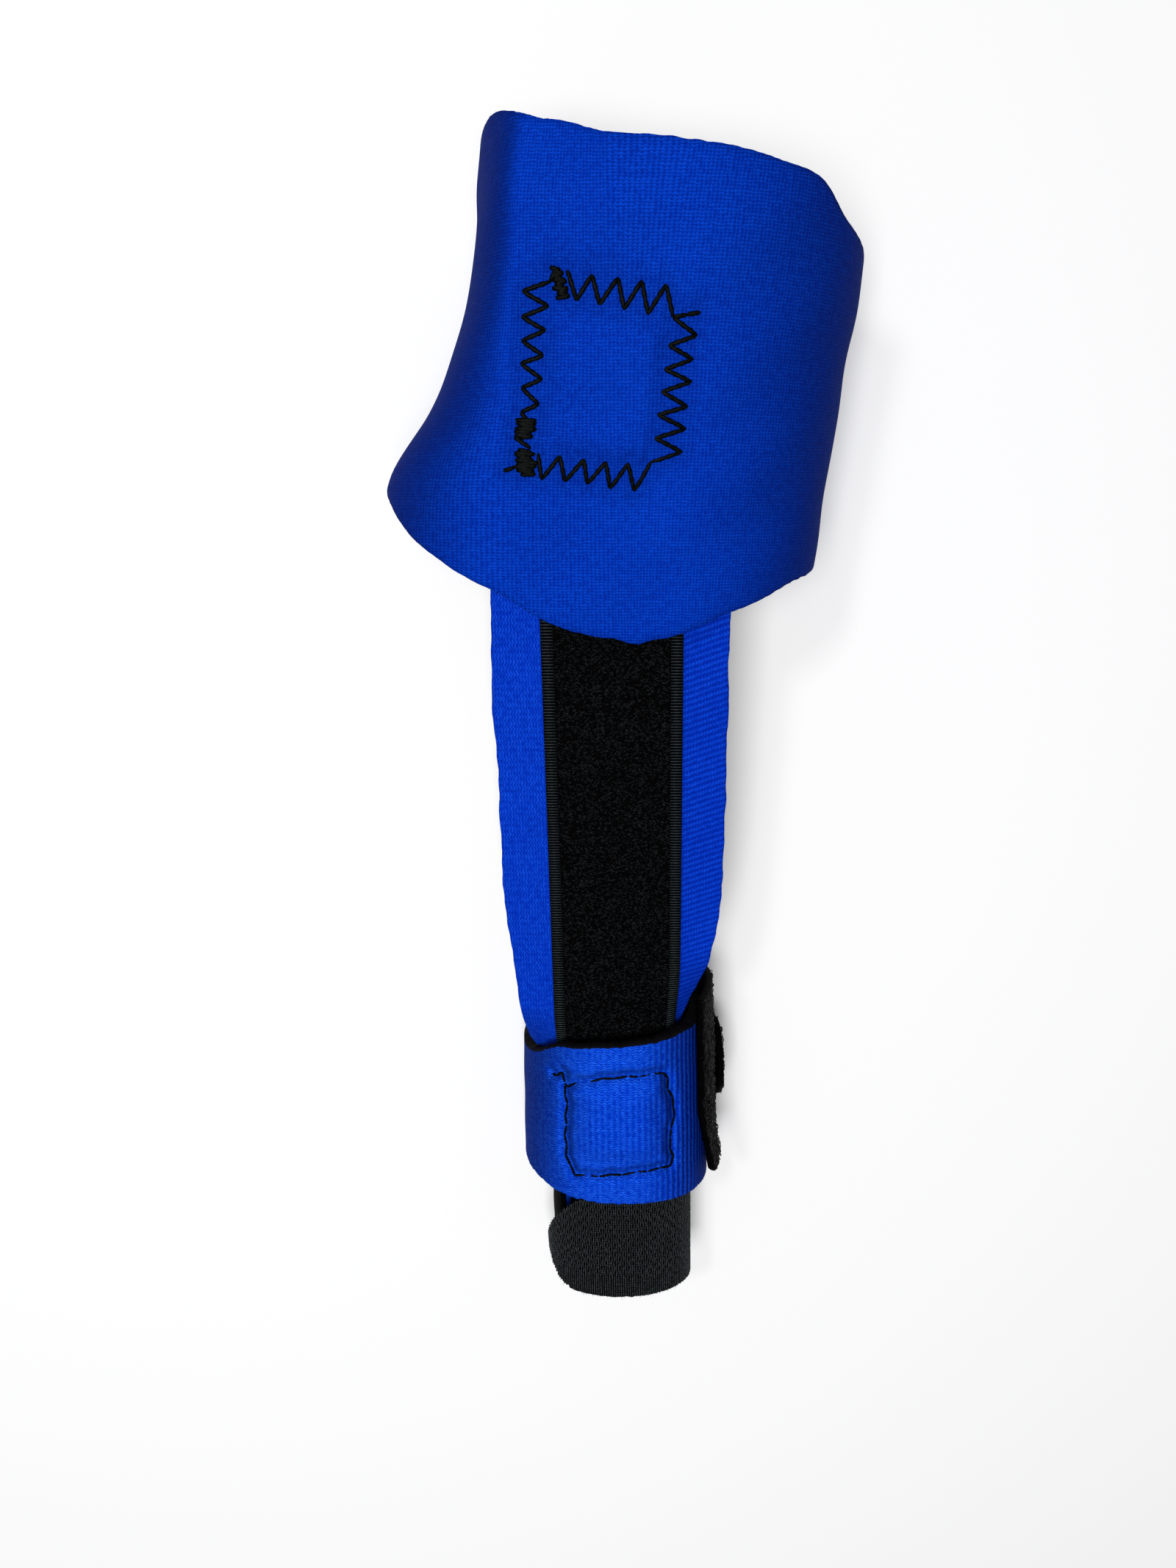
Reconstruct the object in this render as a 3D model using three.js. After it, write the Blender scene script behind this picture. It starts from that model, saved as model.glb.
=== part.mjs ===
// A hand and finger splint of blue neoprene: a wrist wrap, a long strip down the back of the hand,
// a sleeve round one finger, a padded trough under that finger and a band round its tip.
// Millimetres. X is across the hand, +Y points to the forearm and +Z away from the palm.
// The origin is the middle of the flat palm face on which the wrist wrap rests.
import * as THREE from "three";

// Cloth and tape
const WALL = 3.0; // neoprene
const TAPE = 1.2; // loop tape
const WEAVE = 1.2; // woven hook tape
const HOOK = 1.0; // hook patches
const GAP = 0.3; // between layers
const TAPE_WIDTH = 25;
const BAND_WIDTH = 25;

// The line that the strip and the finger follow
const AXIS_X = 3.4; // beside the origin, where the line passes it
const AXIS_TURN = 1.2; // degrees that it turns away from -Y
const BACK_SLOPE = 8; // degrees that the back of the hand falls towards the finger

// Wrist wrap
const WRAP_LENGTH = 77; // along the back of the hand
const WRAP_WIDTH = 80; // across its wide end
const WRAP_MID = 25; // height of its widest line
const WRAP_FOOT = 21; // from a side to the flat of its palm face
const WRAP_CREASE = 2; // power of the upper flanks, 2 is an ellipse
const LAP_START = 26; // where the inner end of the wrap lies, across the palm
const LAP_END = -6; // where the outer end lies
const LAP_TAB_LENGTH = 36;
const LAP_TAB_INSET = 5; // from the ends of the lap

// Strip down the back of the hand
const STRIP_WIDTH = 42;
const STRIP_TOP_END = 26; // its wrist end, hidden under the wrap
const STRIP_TIP_END = -151; // its finger end, hidden in the sleeve
const STRIP_CURL_START = -96; // where it starts to bend round the finger
const STRIP_CURL_RADIUS = 22;
const TAPE_INSET = 3; // the tape stops this short of the strip's ends
const BACK_STEP = 4; // between the places where the layers' faces meet

// Finger sleeve
const FINGER_HEIGHT = 16; // of the hollow between the trough and the strip
const SLEEVE_TOP_END = -120;
const SLEEVE_LENGTH = 38.4;
const SLEEVE_WIDTH = 40;
const SLEEVE_RIM_WIDTH = 38.4; // at its wrist-side rim
const SLEEVE_ASIDE = -0.4; // of its middle from the line
const SLEEVE_SKEW = 1.8; // that rim leans this much from the middle to each side
const SLEEVE_TIP_CUT = 4.5; // its fingertip hem is this much shorter on the thumb side
const SLEEVE_SLIT = 0.03; // in quarter turns, from its widest line to each end
const SLEEVE_MID = 14; // height of its widest line
const SLEEVE_FOOT = 12;
const SLEEVE_CREST = 2; // half of its flat top
const SLEEVE_CROWN = 2.3; // power of its upper half

// Trough under the finger
const TROUGH_WIDTH = 26.2;
const TROUGH_TOP_END = -119.5;
const TROUGH_TIP_END = -184.5;
const TROUGH_FOOT = 8;
const TROUGH_RIM = 1.68; // where its rims lie, in quarter turns from the top

// Band round the fingertip
const BAND_TIP_END = -185.7;
const BAND_TOP = 24.5; // height over the finger
const BAND_START = -2.4; // where it starts and ends on the thumb side, in quarter turns
const BAND_END = -1.98;
const BAND_ROUND = 0.5; // quarter turns that its round end takes

// Closing panel on the sleeve's little-finger side, and its rounded tab
const PANEL = 2.0; // thickness
const PANEL_TOP_END = -113;
const PANEL_LENGTH = 42;
const PANEL_RIM = 1.6; // its edges, in quarter turns from the top
const PANEL_FOOT = 2.45;
const PANEL_FLARE = 1.8; // its fingertip end stands off this much more
const PANEL_FLARE_START = 0.78; // share of its length
const TAB = 1.8; // thickness
const TAB_TOP_END = -125;
const TAB_LENGTH = 19.5;
const TAB_RIM = 1.98; // its round edge, in quarter turns
const TAB_ROUND = 0.35; // quarter turns that the round edge takes
const END_TRIM = 0.35; // how far a round end narrows on each side, as a share of its width

// Hook patches inside the two stitched boxes: middle is along Y, aside is from the line
const WRIST_PATCH = { middle: 4, aside: -1.4, width: 23, length: 32 };
const FINGER_PATCH = { middle: -140.5, aside: -0.5, width: 19, length: 22 };

// What follows from these sizes
const COVER_LIFT = GAP + HOOK + GAP; // from the loop tape to the inside of what covers it
const STRIP_LIFT = -(TAPE + GAP); // from the top of the loop tape to the top of the strip
const TROUGH_FLOOR = WALL + GAP + TAPE + GAP; // underside of the trough in the sleeve
const BACK_HEIGHT = TROUGH_FLOOR + WALL + FINGER_HEIGHT + WALL - STRIP_LIFT; // in the sleeve's middle
const SLEEVE_MIDDLE = SLEEVE_TOP_END - SLEEVE_LENGTH / 2;
const LAP_LIFT = WALL + GAP + HOOK + GAP; // underside of the wrap's inner end

// Wrap sections: along is a share of WRAP_LENGTH from the origin, the others of WRAP_WIDTH. left
// and right are the sides, crestLeft and crestRight the edges of the flat back, and sink is how
// far the back lies below the strip's plane.
const WRAP_SECTIONS = [
  { along: -0.55, left: -0.478, right: 0.510, crestLeft: -0.175, crestRight: 0.140, sink: 0 },
  { along: -0.34, left: -0.478, right: 0.525, crestLeft: -0.175, crestRight: 0.142, sink: 0 },
  { along: -0.14, left: -0.450, right: 0.545, crestLeft: -0.169, crestRight: 0.145, sink: 0 },
  { along: 0.00, left: -0.357, right: 0.562, crestLeft: -0.156, crestRight: 0.150, sink: 0 },
  { along: 0.13, left: -0.298, right: 0.576, crestLeft: -0.144, crestRight: 0.153, sink: 0 },
  { along: 0.26, left: -0.258, right: 0.596, crestLeft: -0.138, crestRight: 0.163, sink: 0 },
  { along: 0.39, left: -0.238, right: 0.604, crestLeft: -0.131, crestRight: 0.175, sink: 0 },
  { along: 0.48, left: -0.236, right: 0.607, crestLeft: -0.119, crestRight: 0.188, sink: 0.015 },
  { along: 0.60, left: -0.222, right: 0.612, crestLeft: -0.100, crestRight: 0.200, sink: 0.04 },
];

// Wrap hems: round is in quarter turns from the middle of the back, minus to the thumb side. top
// and tip are shares of WRAP_LENGTH from the origin, of the forearm hem and the finger hem.
const WRAP_HEMS = [
  { round: -4.0, top: 0.286, tip: -0.286 },
  { round: -3.0, top: 0.310, tip: -0.270 },
  { round: -2.5, top: 0.410, tip: -0.205 },
  { round: -2.0, top: 0.510, tip: -0.140, corner: true },
  { round: -1.7, top: 0.545, tip: -0.200 },
  { round: -1.4, top: 0.555, tip: -0.292 },
  { round: -1.0, top: 0.530, tip: -0.392 },
  { round: -0.5, top: 0.518, tip: -0.460 },
  { round: 0.0, top: 0.503, tip: -0.488 },
  { round: 1.0, top: 0.488, tip: -0.490 },
  { round: 1.3, top: 0.460, tip: -0.430 },
  { round: 1.45, top: 0.438, tip: -0.402 },
  { round: 1.6, top: 0.378, tip: -0.374 },
  { round: 1.95, top: 0.314, tip: -0.342, corner: true },
  { round: 2.5, top: 0.305, tip: -0.305 },
  { round: 3.0, top: 0.286, tip: -0.286 },
  { round: 4.0, top: 0.286, tip: -0.286 },
];

// Strip edges: along is a share from its wrist end to its finger end, left and right are shares
// of STRIP_WIDTH from the line.
const STRIP_EDGES = [
  { along: 0.00, left: -0.22, right: 0.24 },
  { along: 0.03, left: -0.31, right: 0.34 },
  { along: 0.10, left: -0.36, right: 0.42 },
  { along: 0.30, left: -0.49, right: 0.50 },
  { along: 0.38, left: -0.51, right: 0.495 },
  { along: 0.60, left: -0.505, right: 0.49 },
  { along: 0.67, left: -0.495, right: 0.47 },
  { along: 0.72, left: -0.495, right: 0.43 },
  { along: 0.76, left: -0.490, right: 0.38 },
  { along: 0.82, left: -0.450, right: 0.35 },
  { along: 0.90, left: -0.360, right: 0.32 },
  { along: 1.00, left: -0.300, right: 0.29 },
];

const radians = THREE.MathUtils.degToRad;
const mix = THREE.MathUtils.lerp;
const smooth = THREE.MathUtils.smoothstep;

// The value of a column at a place, on a smooth curve through the rows of a table
function read(rows, key, place, column) {
  const last = rows.length - 1;
  let i = 0;
  while (i < last - 1 && place > rows[i + 1][key]) i += 1;
  const slope = (j) => {
    const before = rows[j === 0 || (rows[j].corner && j === i) ? j : j - 1];
    const after = rows[j === last || (rows[j].corner && j === i + 1) ? j : j + 1];
    return (after[column] - before[column]) / (after[key] - before[key]);
  };
  const step = rows[i + 1][key] - rows[i][key];
  const t = THREE.MathUtils.clamp((place - rows[i][key]) / step, 0, 1);
  const ends = rows[i][column] * (1 + 2 * t) * (1 - t) ** 2 + rows[i + 1][column] * t * t * (3 - 2 * t);
  return ends + (slope(i) * (1 - t) - slope(i + 1) * t) * step * t * (1 - t);
}

const axisX = (y) => AXIS_X - y * Math.tan(radians(AXIS_TURN));
const backHeight = (y) => BACK_HEIGHT + (y - SLEEVE_MIDDLE) * Math.tan(radians(BACK_SLOPE));

// A point of a girth. round counts quarter turns from the middle of the back: 0 to 1 along the
// flat back, 1 to 2 down the upper flank, 2 to 3 down the lower flank, 3 to 4 along the palm face.
// lift is away from the hollow.
function girthPoint(girth, round, lift) {
  const side = round < 0 ? girth.left : girth.right;
  const out = round < 0 ? -1 : 1;
  const quarter = Math.abs(round);
  if (quarter <= 1) return [mix(girth.centre, side.crest, quarter), girth.top + lift];
  if (quarter <= 2) {
    const turn = (quarter - 1) * Math.PI / 2;
    const bend = 2 / girth.power;
    const across = Math.abs(side.flank - side.crest) + lift;
    const up = girth.top - girth.mid + lift;
    return [side.crest + out * across * Math.sin(turn) ** bend, girth.mid + up * Math.cos(turn) ** bend];
  }
  if (quarter <= 3) {
    const turn = (quarter - 2) * Math.PI / 2;
    const across = Math.abs(side.flank - side.foot) + lift;
    const down = girth.mid - side.floor + lift;
    return [side.foot + out * across * Math.cos(turn), girth.mid - down * Math.sin(turn)];
  }
  return [mix(side.foot, side.tail, quarter - 3), side.floor - lift];
}

function wrapGirth(y) {
  const at = (column) => read(WRAP_SECTIONS, "along", y / WRAP_LENGTH, column) * WRAP_WIDTH;
  const [left, right] = [at("left"), at("right")];
  return {
    centre: axisX(y),
    top: backHeight(y) + COVER_LIFT + WALL - at("sink"),
    mid: WRAP_MID,
    power: WRAP_CREASE,
    left: { flank: left, crest: at("crestLeft"), foot: left + WRAP_FOOT, floor: LAP_LIFT, tail: LAP_START },
    right: { flank: right, crest: at("crestRight"), foot: right - WRAP_FOOT, floor: 0, tail: LAP_END },
  };
}

// A girth that is alike on both sides of a middle near the finger's line
function fingerGirth(centre, half, { crest, foot, floor, top, power }) {
  const side = (out) => ({
    flank: centre + out * half,
    crest: centre + out * crest,
    foot: centre + out * (half - foot),
    floor,
  });
  return { centre, top, mid: SLEEVE_MID, power, left: side(-1), right: side(1) };
}

function sleeveGirth(y) {
  const share = (SLEEVE_TOP_END - y) / SLEEVE_LENGTH;
  const half = mix(SLEEVE_RIM_WIDTH, SLEEVE_WIDTH, Math.sin(share * Math.PI / 2)) / 2;
  const top = backHeight(y) + COVER_LIFT + WALL;
  const shape = { crest: SLEEVE_CREST, foot: SLEEVE_FOOT, floor: 0, top, power: SLEEVE_CROWN };
  return fingerGirth(axisX(y) + SLEEVE_ASIDE, half, shape);
}

function troughGirth(y) {
  const top = BAND_TOP - WEAVE - GAP - TAPE - GAP;
  const shape = { crest: 0, foot: TROUGH_FOOT, floor: TROUGH_FLOOR, top, power: 2 };
  return fingerGirth(axisX(y), TROUGH_WIDTH / 2, shape);
}

// A point of the layers on the back of the hand. across is along the cloth from the line, and
// lift is from the top of the loop tape.
function backPoint(across, y, lift) {
  const bent = smooth(-y, -STRIP_CURL_START, -SLEEVE_TOP_END);
  const height = backHeight(y);
  if (bent === 0) return [axisX(y) + across, height + lift];
  const radius = STRIP_CURL_RADIUS / bent;
  const turn = across / radius;
  return [axisX(y) + (radius + lift) * Math.sin(turn), height - radius + (radius + lift) * Math.cos(turn)];
}

// Places along the back of the hand, alike for all its layers and closer where they curl
function backStations(top, tip) {
  const places = [top];
  for (let y = Math.ceil(top / BACK_STEP - 1) * BACK_STEP; y > tip; y -= BACK_STEP) {
    if (y < STRIP_CURL_START || Math.round(y / BACK_STEP) % 2 === 0) places.push(y);
  }
  return [...places, tip];
}

// Values from one to another in equal steps
function spread(from, to, steps) {
  return Array.from({ length: steps + 1 }, (_, i) => mix(from, to, i / steps));
}

// Stations round a girth, in stretches of [from, to, steps] that meet
function stations(...stretches) {
  return stretches.flatMap(([from, to, steps], i) => spread(from, to, steps).slice(i === 0 ? 0 : 1));
}

// A closed wall between an inner and an outer face on one grid: place(a, b, face) gives [x, y, z]
function wall(name, material, across, along, place) {
  const [wide, long] = [across.length, along.length];
  const points = [1, 0].flatMap((face) => across.flatMap((a) => along.flatMap((b) => place(a, b, face))));
  const index = [];
  const corner = (i, j, face) => (face * wide + i) * long + j;
  const quad = (a, b, c, d) => index.push(a, b, c, a, c, d);
  for (let i = 1; i < wide; i += 1) {
    for (let j = 1; j < long; j += 1) {
      quad(corner(i - 1, j - 1, 0), corner(i - 1, j, 0), corner(i, j, 0), corner(i, j - 1, 0));
      quad(corner(i - 1, j - 1, 1), corner(i, j - 1, 1), corner(i, j, 1), corner(i - 1, j, 1));
    }
    quad(corner(i - 1, 0, 0), corner(i, 0, 0), corner(i, 0, 1), corner(i - 1, 0, 1));
    const end = long - 1;
    quad(corner(i - 1, end, 0), corner(i - 1, end, 1), corner(i, end, 1), corner(i, end, 0));
  }
  for (let j = 1; j < long; j += 1) {
    quad(corner(0, j - 1, 0), corner(0, j - 1, 1), corner(0, j, 1), corner(0, j, 0));
    const side = wide - 1;
    quad(corner(side, j - 1, 0), corner(side, j, 0), corner(side, j, 1), corner(side, j - 1, 1));
  }
  const geometry = new THREE.BufferGeometry();
  geometry.setAttribute("position", new THREE.Float32BufferAttribute(points, 3));
  geometry.setIndex(index);
  geometry.computeVertexNormals();
  const mesh = new THREE.Mesh(geometry, material);
  mesh.name = name;
  return mesh;
}

// A wall that follows a girth: hem gives the y of its forearm and fingertip edges, and lift the
// inner and outer face
function girthWall(name, material, girth, rounds, hem, lift, steps) {
  return wall(name, material, rounds, spread(0, 1, steps), (round, share, face) => {
    const [top, tip] = hem(round);
    const y = mix(top, tip, share);
    const [x, z] = girthPoint(girth(y), round, lift(round, share)[face]);
    return [x, y, z];
  });
}

// A layer on the back of the hand: edges gives its two sides at y
function backLayer(name, material, lengths, edges, faces, steps) {
  return wall(name, material, spread(0, 1, steps), lengths, (share, y, face) => {
    const [left, right] = edges(y);
    const [x, z] = backPoint(mix(left, right, share), y, faces[face]);
    return [x, y, z];
  });
}

const finish = (color, roughness) => new THREE.MeshStandardMaterial({ color, roughness, metalness: 0 });

function wristWrap() {
  const edge = (round, side) => read(WRAP_HEMS, "round", round, side) * WRAP_LENGTH;
  const hem = (round) => [edge(round, "top"), edge(round, "tip")];
  const thumbSide = stations([-4, -3, 3], [-3, -2, 7], [-2, -1, 10], [-1, 0, 2]);
  const rounds = [...thumbSide.slice(0, -1), ...thumbSide.map((round) => -round).reverse()];
  const faces = [-WALL, 0];
  return girthWall("wrist_wrap", finish("#1436b8", 0.85), wrapGirth, rounds, hem, () => faces, 14);
}

// The hidden tab that closes the wrap on the palm, flat between its two ends
function palmHookTab() {
  const low = WALL + GAP;
  const sides = [LAP_END + LAP_TAB_INSET, LAP_START - LAP_TAB_INSET];
  const lengths = [LAP_TAB_LENGTH / 2, -LAP_TAB_LENGTH / 2];
  const place = (x, y, face) => [x, y, low + face * HOOK];
  return wall("palm_hook_tab", finish("#17181b", 0.8), sides, lengths, place);
}

function handStrip() {
  const edges = (y) => {
    const along = (STRIP_TOP_END - y) / (STRIP_TOP_END - STRIP_TIP_END);
    return ["left", "right"].map((side) => read(STRIP_EDGES, "along", along, side) * STRIP_WIDTH);
  };
  const lengths = backStations(STRIP_TOP_END, STRIP_TIP_END);
  const faces = [STRIP_LIFT - WALL, STRIP_LIFT];
  return backLayer("hand_strip", finish("#1b48dc", 0.85), lengths, edges, faces, 10);
}

function handLoopTape() {
  const edges = () => [-TAPE_WIDTH / 2, TAPE_WIDTH / 2];
  const lengths = backStations(STRIP_TOP_END - TAPE_INSET, STRIP_TIP_END + TAPE_INSET);
  return backLayer("hand_loop_tape", finish("#0d0e12", 0.95), lengths, edges, [-TAPE, 0], 8);
}

function hookPatch(name, { middle, aside, width, length }, steps) {
  const edges = () => [aside - width / 2, aside + width / 2];
  const lengths = backStations(middle + length / 2, middle - length / 2);
  return backLayer(name, finish("#17181b", 0.8), lengths, edges, [GAP, GAP + HOOK], steps);
}

// The sleeve's two ends meet on the little-finger side, under the closing panel
function fingerSleeve() {
  const [start, end] = [2 + SLEEVE_SLIT, 2 - SLEEVE_SLIT];
  const rounds = stations([start, 3, 6], [3, -3, 1], [-3, -2, 6], [-2, -1, 9], [-1, 1, 2], [1, end, 9]);
  const rim = sleeveGirth(SLEEVE_TOP_END);
  const hem = (round) => {
    const across = (girthPoint(rim, round, 0)[0] - rim.centre) / (SLEEVE_RIM_WIDTH / 2);
    const cut = SLEEVE_TIP_CUT * Math.min(across, 0) ** 2;
    return [SLEEVE_TOP_END + SLEEVE_SKEW * across, SLEEVE_TOP_END - SLEEVE_LENGTH + cut];
  };
  return girthWall("finger_sleeve", finish("#1440e0", 0.85), sleeveGirth, rounds, hem, () => [-WALL, 0], 8);
}

function troughWall(name, material, faces) {
  const rim = TROUGH_RIM;
  const rounds = stations([rim, 2, 3], [2, 3, 8], [3, -3, 1], [-3, -2, 8], [-2, -rim, 3]);
  const hem = () => [TROUGH_TOP_END, TROUGH_TIP_END];
  return girthWall(name, material, troughGirth, rounds, hem, () => faces, 6);
}

function fingerTrough() {
  return troughWall("finger_trough", finish("#14161c", 0.9), [-WALL, 0]);
}

function troughLoopTape() {
  return troughWall("trough_loop_tape", finish("#0d0e12", 0.95), [GAP, GAP + TAPE]);
}

// How much a round end takes off each side: share is 0 at the end and 1 where it has full width
function roundTrim(share, width) {
  const inside = 1 - THREE.MathUtils.clamp(share, 0, 1);
  return (1 - Math.sqrt(1 - inside ** 2)) * width * END_TRIM;
}

// The band starts low on the thumb side and comes round to end above its start, with a round end
function tipBand() {
  const full = BAND_END + BAND_ROUND;
  const over = stations([BAND_END, full, 8], [full, -1, 4], [-1, 1, 4], [1, 2, 8], [2, 3, 8]);
  const rounds = [...over, ...spread(-3, BAND_START, 3)];
  const hem = (round) => {
    const share = round < BAND_END ? 1 : (round - BAND_END) / BAND_ROUND;
    const trim = roundTrim(share, BAND_WIDTH);
    return [BAND_TIP_END + BAND_WIDTH - trim, BAND_TIP_END + trim];
  };
  const under = GAP + TAPE + GAP;
  const faces = [under, under + WEAVE];
  return girthWall("tip_band", finish("#1a1c1f", 0.7), troughGirth, rounds, hem, () => faces, 6);
}

function sleeveLoopPanel() {
  const lift = (round, share) => {
    const stand = GAP + PANEL_FLARE * smooth(share, PANEL_FLARE_START, 1);
    return [stand, stand + PANEL];
  };
  const rounds = stations([PANEL_RIM, 2, 5], [2, PANEL_FOOT, 4]);
  const hem = () => [PANEL_TOP_END, PANEL_TOP_END - PANEL_LENGTH];
  return girthWall("sleeve_loop_panel", finish("#0d0e12", 0.95), sleeveGirth, rounds, hem, lift, 12);
}

function closureTab() {
  const base = GAP + PANEL + GAP;
  const hem = (round) => {
    const trim = roundTrim((round - TAB_RIM) / TAB_ROUND, TAB_LENGTH);
    return [TAB_TOP_END - trim, TAB_TOP_END - TAB_LENGTH + trim];
  };
  const rounds = spread(TAB_RIM, PANEL_FOOT, 8);
  const faces = [base, base + TAB];
  return girthWall("closure_tab", finish("#0d0e12", 0.95), sleeveGirth, rounds, hem, () => faces, 6);
}

const splint = new THREE.Group();
splint.add(wristWrap());
splint.add(palmHookTab());
splint.add(handStrip());
splint.add(handLoopTape());
splint.add(hookPatch("wrist_hook_patch", WRIST_PATCH, 2));
splint.add(hookPatch("finger_hook_patch", FINGER_PATCH, 6));
splint.add(fingerSleeve());
splint.add(fingerTrough());
splint.add(troughLoopTape());
splint.add(tipBand());
splint.add(sleeveLoopPanel());
splint.add(closureTab());

export default splint;
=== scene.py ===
"""Looks of a hand and finger splint: blue knit neoprene, black hook-and-loop tapes and dark thread.

Lengths in the classes are millimetres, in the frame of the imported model, and meshes are metres.
X is across the hand, +Y points to the forearm and +Z away from the palm.
"""

import logging
import math
from collections.abc import Callable, Sequence
from dataclasses import dataclass, field
from enum import Enum

import bpy
import numpy as np
from mathutils.bvhtree import BVHTree
from mathutils.kdtree import KDTree
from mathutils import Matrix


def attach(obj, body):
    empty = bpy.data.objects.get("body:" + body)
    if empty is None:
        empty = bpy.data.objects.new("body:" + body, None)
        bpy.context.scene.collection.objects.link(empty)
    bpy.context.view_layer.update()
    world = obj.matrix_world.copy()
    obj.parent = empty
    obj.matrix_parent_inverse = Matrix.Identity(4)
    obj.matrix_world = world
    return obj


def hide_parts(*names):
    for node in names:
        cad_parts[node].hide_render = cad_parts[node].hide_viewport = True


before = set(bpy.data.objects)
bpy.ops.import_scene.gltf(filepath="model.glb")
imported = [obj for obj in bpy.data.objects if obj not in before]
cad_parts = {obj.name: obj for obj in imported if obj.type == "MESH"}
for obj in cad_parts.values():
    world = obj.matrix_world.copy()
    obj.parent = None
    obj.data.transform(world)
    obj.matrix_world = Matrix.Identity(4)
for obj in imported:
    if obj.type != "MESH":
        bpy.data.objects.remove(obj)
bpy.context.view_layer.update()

MM = 0.001
LOG = logging.getLogger("splint")
CLOTH_UV = "cloth"
SHADE = "shade"
RIBBED = "ribbed"

# The cloth and the layers, as the solids have them
WALL = 3.0
TAPE = 1.2
WEAVE = 1.2
HOOK = 1.0
GAP = 0.3
BACK_SLOPE = 8.0
AXIS_X, AXIS_TURN = 3.4, 1.2
SLEEVE_TOP_END, SLEEVE_LENGTH = -120.0, 38.4
FINGER_HEIGHT = 16.0
TROUGH_FLOOR = WALL + GAP + TAPE + GAP
STRIP_LIFT = -(TAPE + GAP)
COVER_LIFT = GAP + HOOK + GAP
BACK_HEIGHT = TROUGH_FLOOR + WALL + FINGER_HEIGHT + WALL - STRIP_LIFT
SLEEVE_MIDDLE = SLEEVE_TOP_END - SLEEVE_LENGTH / 2
LAP_LIFT = WALL + GAP + HOOK + GAP

Points = np.ndarray
Pixels = Sequence[tuple[float, float]]
Surface = Callable[[np.ndarray, np.ndarray, np.ndarray | float], Points]


class Hold(Enum):
    """How a sheet of cloth is held."""

    STRETCHED = "stretched"
    LAID = "laid"


class Side(Enum):
    """The side of the hand that a girth's half is on."""

    THUMB = -1
    LITTLE = 1


def axis_x(y: np.ndarray | float) -> np.ndarray | float:
    """The x of the line that the strip and the finger follow, at y."""
    return AXIS_X - y * math.tan(math.radians(AXIS_TURN))


def back_height(y: np.ndarray | float) -> np.ndarray | float:
    """The height of the loop tape's top over the line, at y."""
    return BACK_HEIGHT + (y - SLEEVE_MIDDLE) * math.tan(math.radians(BACK_SLOPE))


def smooth(value: np.ndarray, low: np.ndarray | float, high: np.ndarray | float) -> np.ndarray:
    """A soft step from 0 at low to 1 at high."""
    t = np.clip((value - low) / (high - low), 0, 1)
    return t * t * (3 - 2 * t)


def plateau(value: np.ndarray, low: float, high: float, soft: float) -> np.ndarray:
    """1 between low and high, falling softly to 0 at both of them."""
    return smooth(value, low, low + soft) * (1 - smooth(value, high - soft, high))


def rough(count: int, height: float, seed: int) -> np.ndarray:
    """Unevenness of a cut edge, soft enough not to look like a saw.

    Args:
        count: how many places it is for.
        height: about how far they stray.
        seed: for the chance.

    Returns:
        Offsets, one for each place.
    """
    rng = np.random.default_rng(seed)
    fine, slow = rng.normal(0, height, (2, count + 24))
    fine = np.convolve(fine, [0.5, 1.0, 0.5], "same")
    slow = np.convolve(slow, np.hanning(21) / 2, "same")
    return (fine + slow)[12:-12]


@dataclass(frozen=True)
class Table:
    """A short table whose columns are read on smooth curves through its rows."""

    key: str
    columns: tuple[str, ...]
    rows: tuple[tuple[float, ...], ...]
    corners: tuple[float, ...] = ()

    def at(self, column: str, place: np.ndarray | float) -> np.ndarray:
        """The value of a column.

        Args:
            column: the column's name.
            place: where to read it, in the key's unit.

        Returns:
            The values, one for each place.
        """
        rows = np.array(self.rows, float)
        keys, values = rows[:, 0], rows[:, 1 + self.columns.index(column)]
        last = len(keys) - 1
        place = np.asarray(place, float)
        i = np.searchsorted(keys[1:last], place)
        corner = np.isin(keys, self.corners)
        before = np.where(corner[i] | (i == 0), i, i - 1)
        after = np.where(corner[i + 1] | (i + 1 == last), i + 1, np.minimum(i + 2, last))
        slope_in = (values[i + 1] - values[before]) / (keys[i + 1] - keys[before])
        slope_out = (values[after] - values[i]) / (keys[after] - keys[i])
        step = keys[i + 1] - keys[i]
        t = np.clip((place - keys[i]) / step, 0, 1)
        ends = values[i] * (1 + 2 * t) * (1 - t) ** 2 + values[i + 1] * t * t * (3 - 2 * t)
        return ends + (slope_in * (1 - t) - slope_out * t) * step * t * (1 - t)


@dataclass(frozen=True)
class HalfGirth:
    """One half of a girth: the x of its widest line, flat top's edge, foot and end, and its floor."""

    flank: np.ndarray
    crest: np.ndarray
    foot: np.ndarray
    floor: float
    tail: np.ndarray


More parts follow.
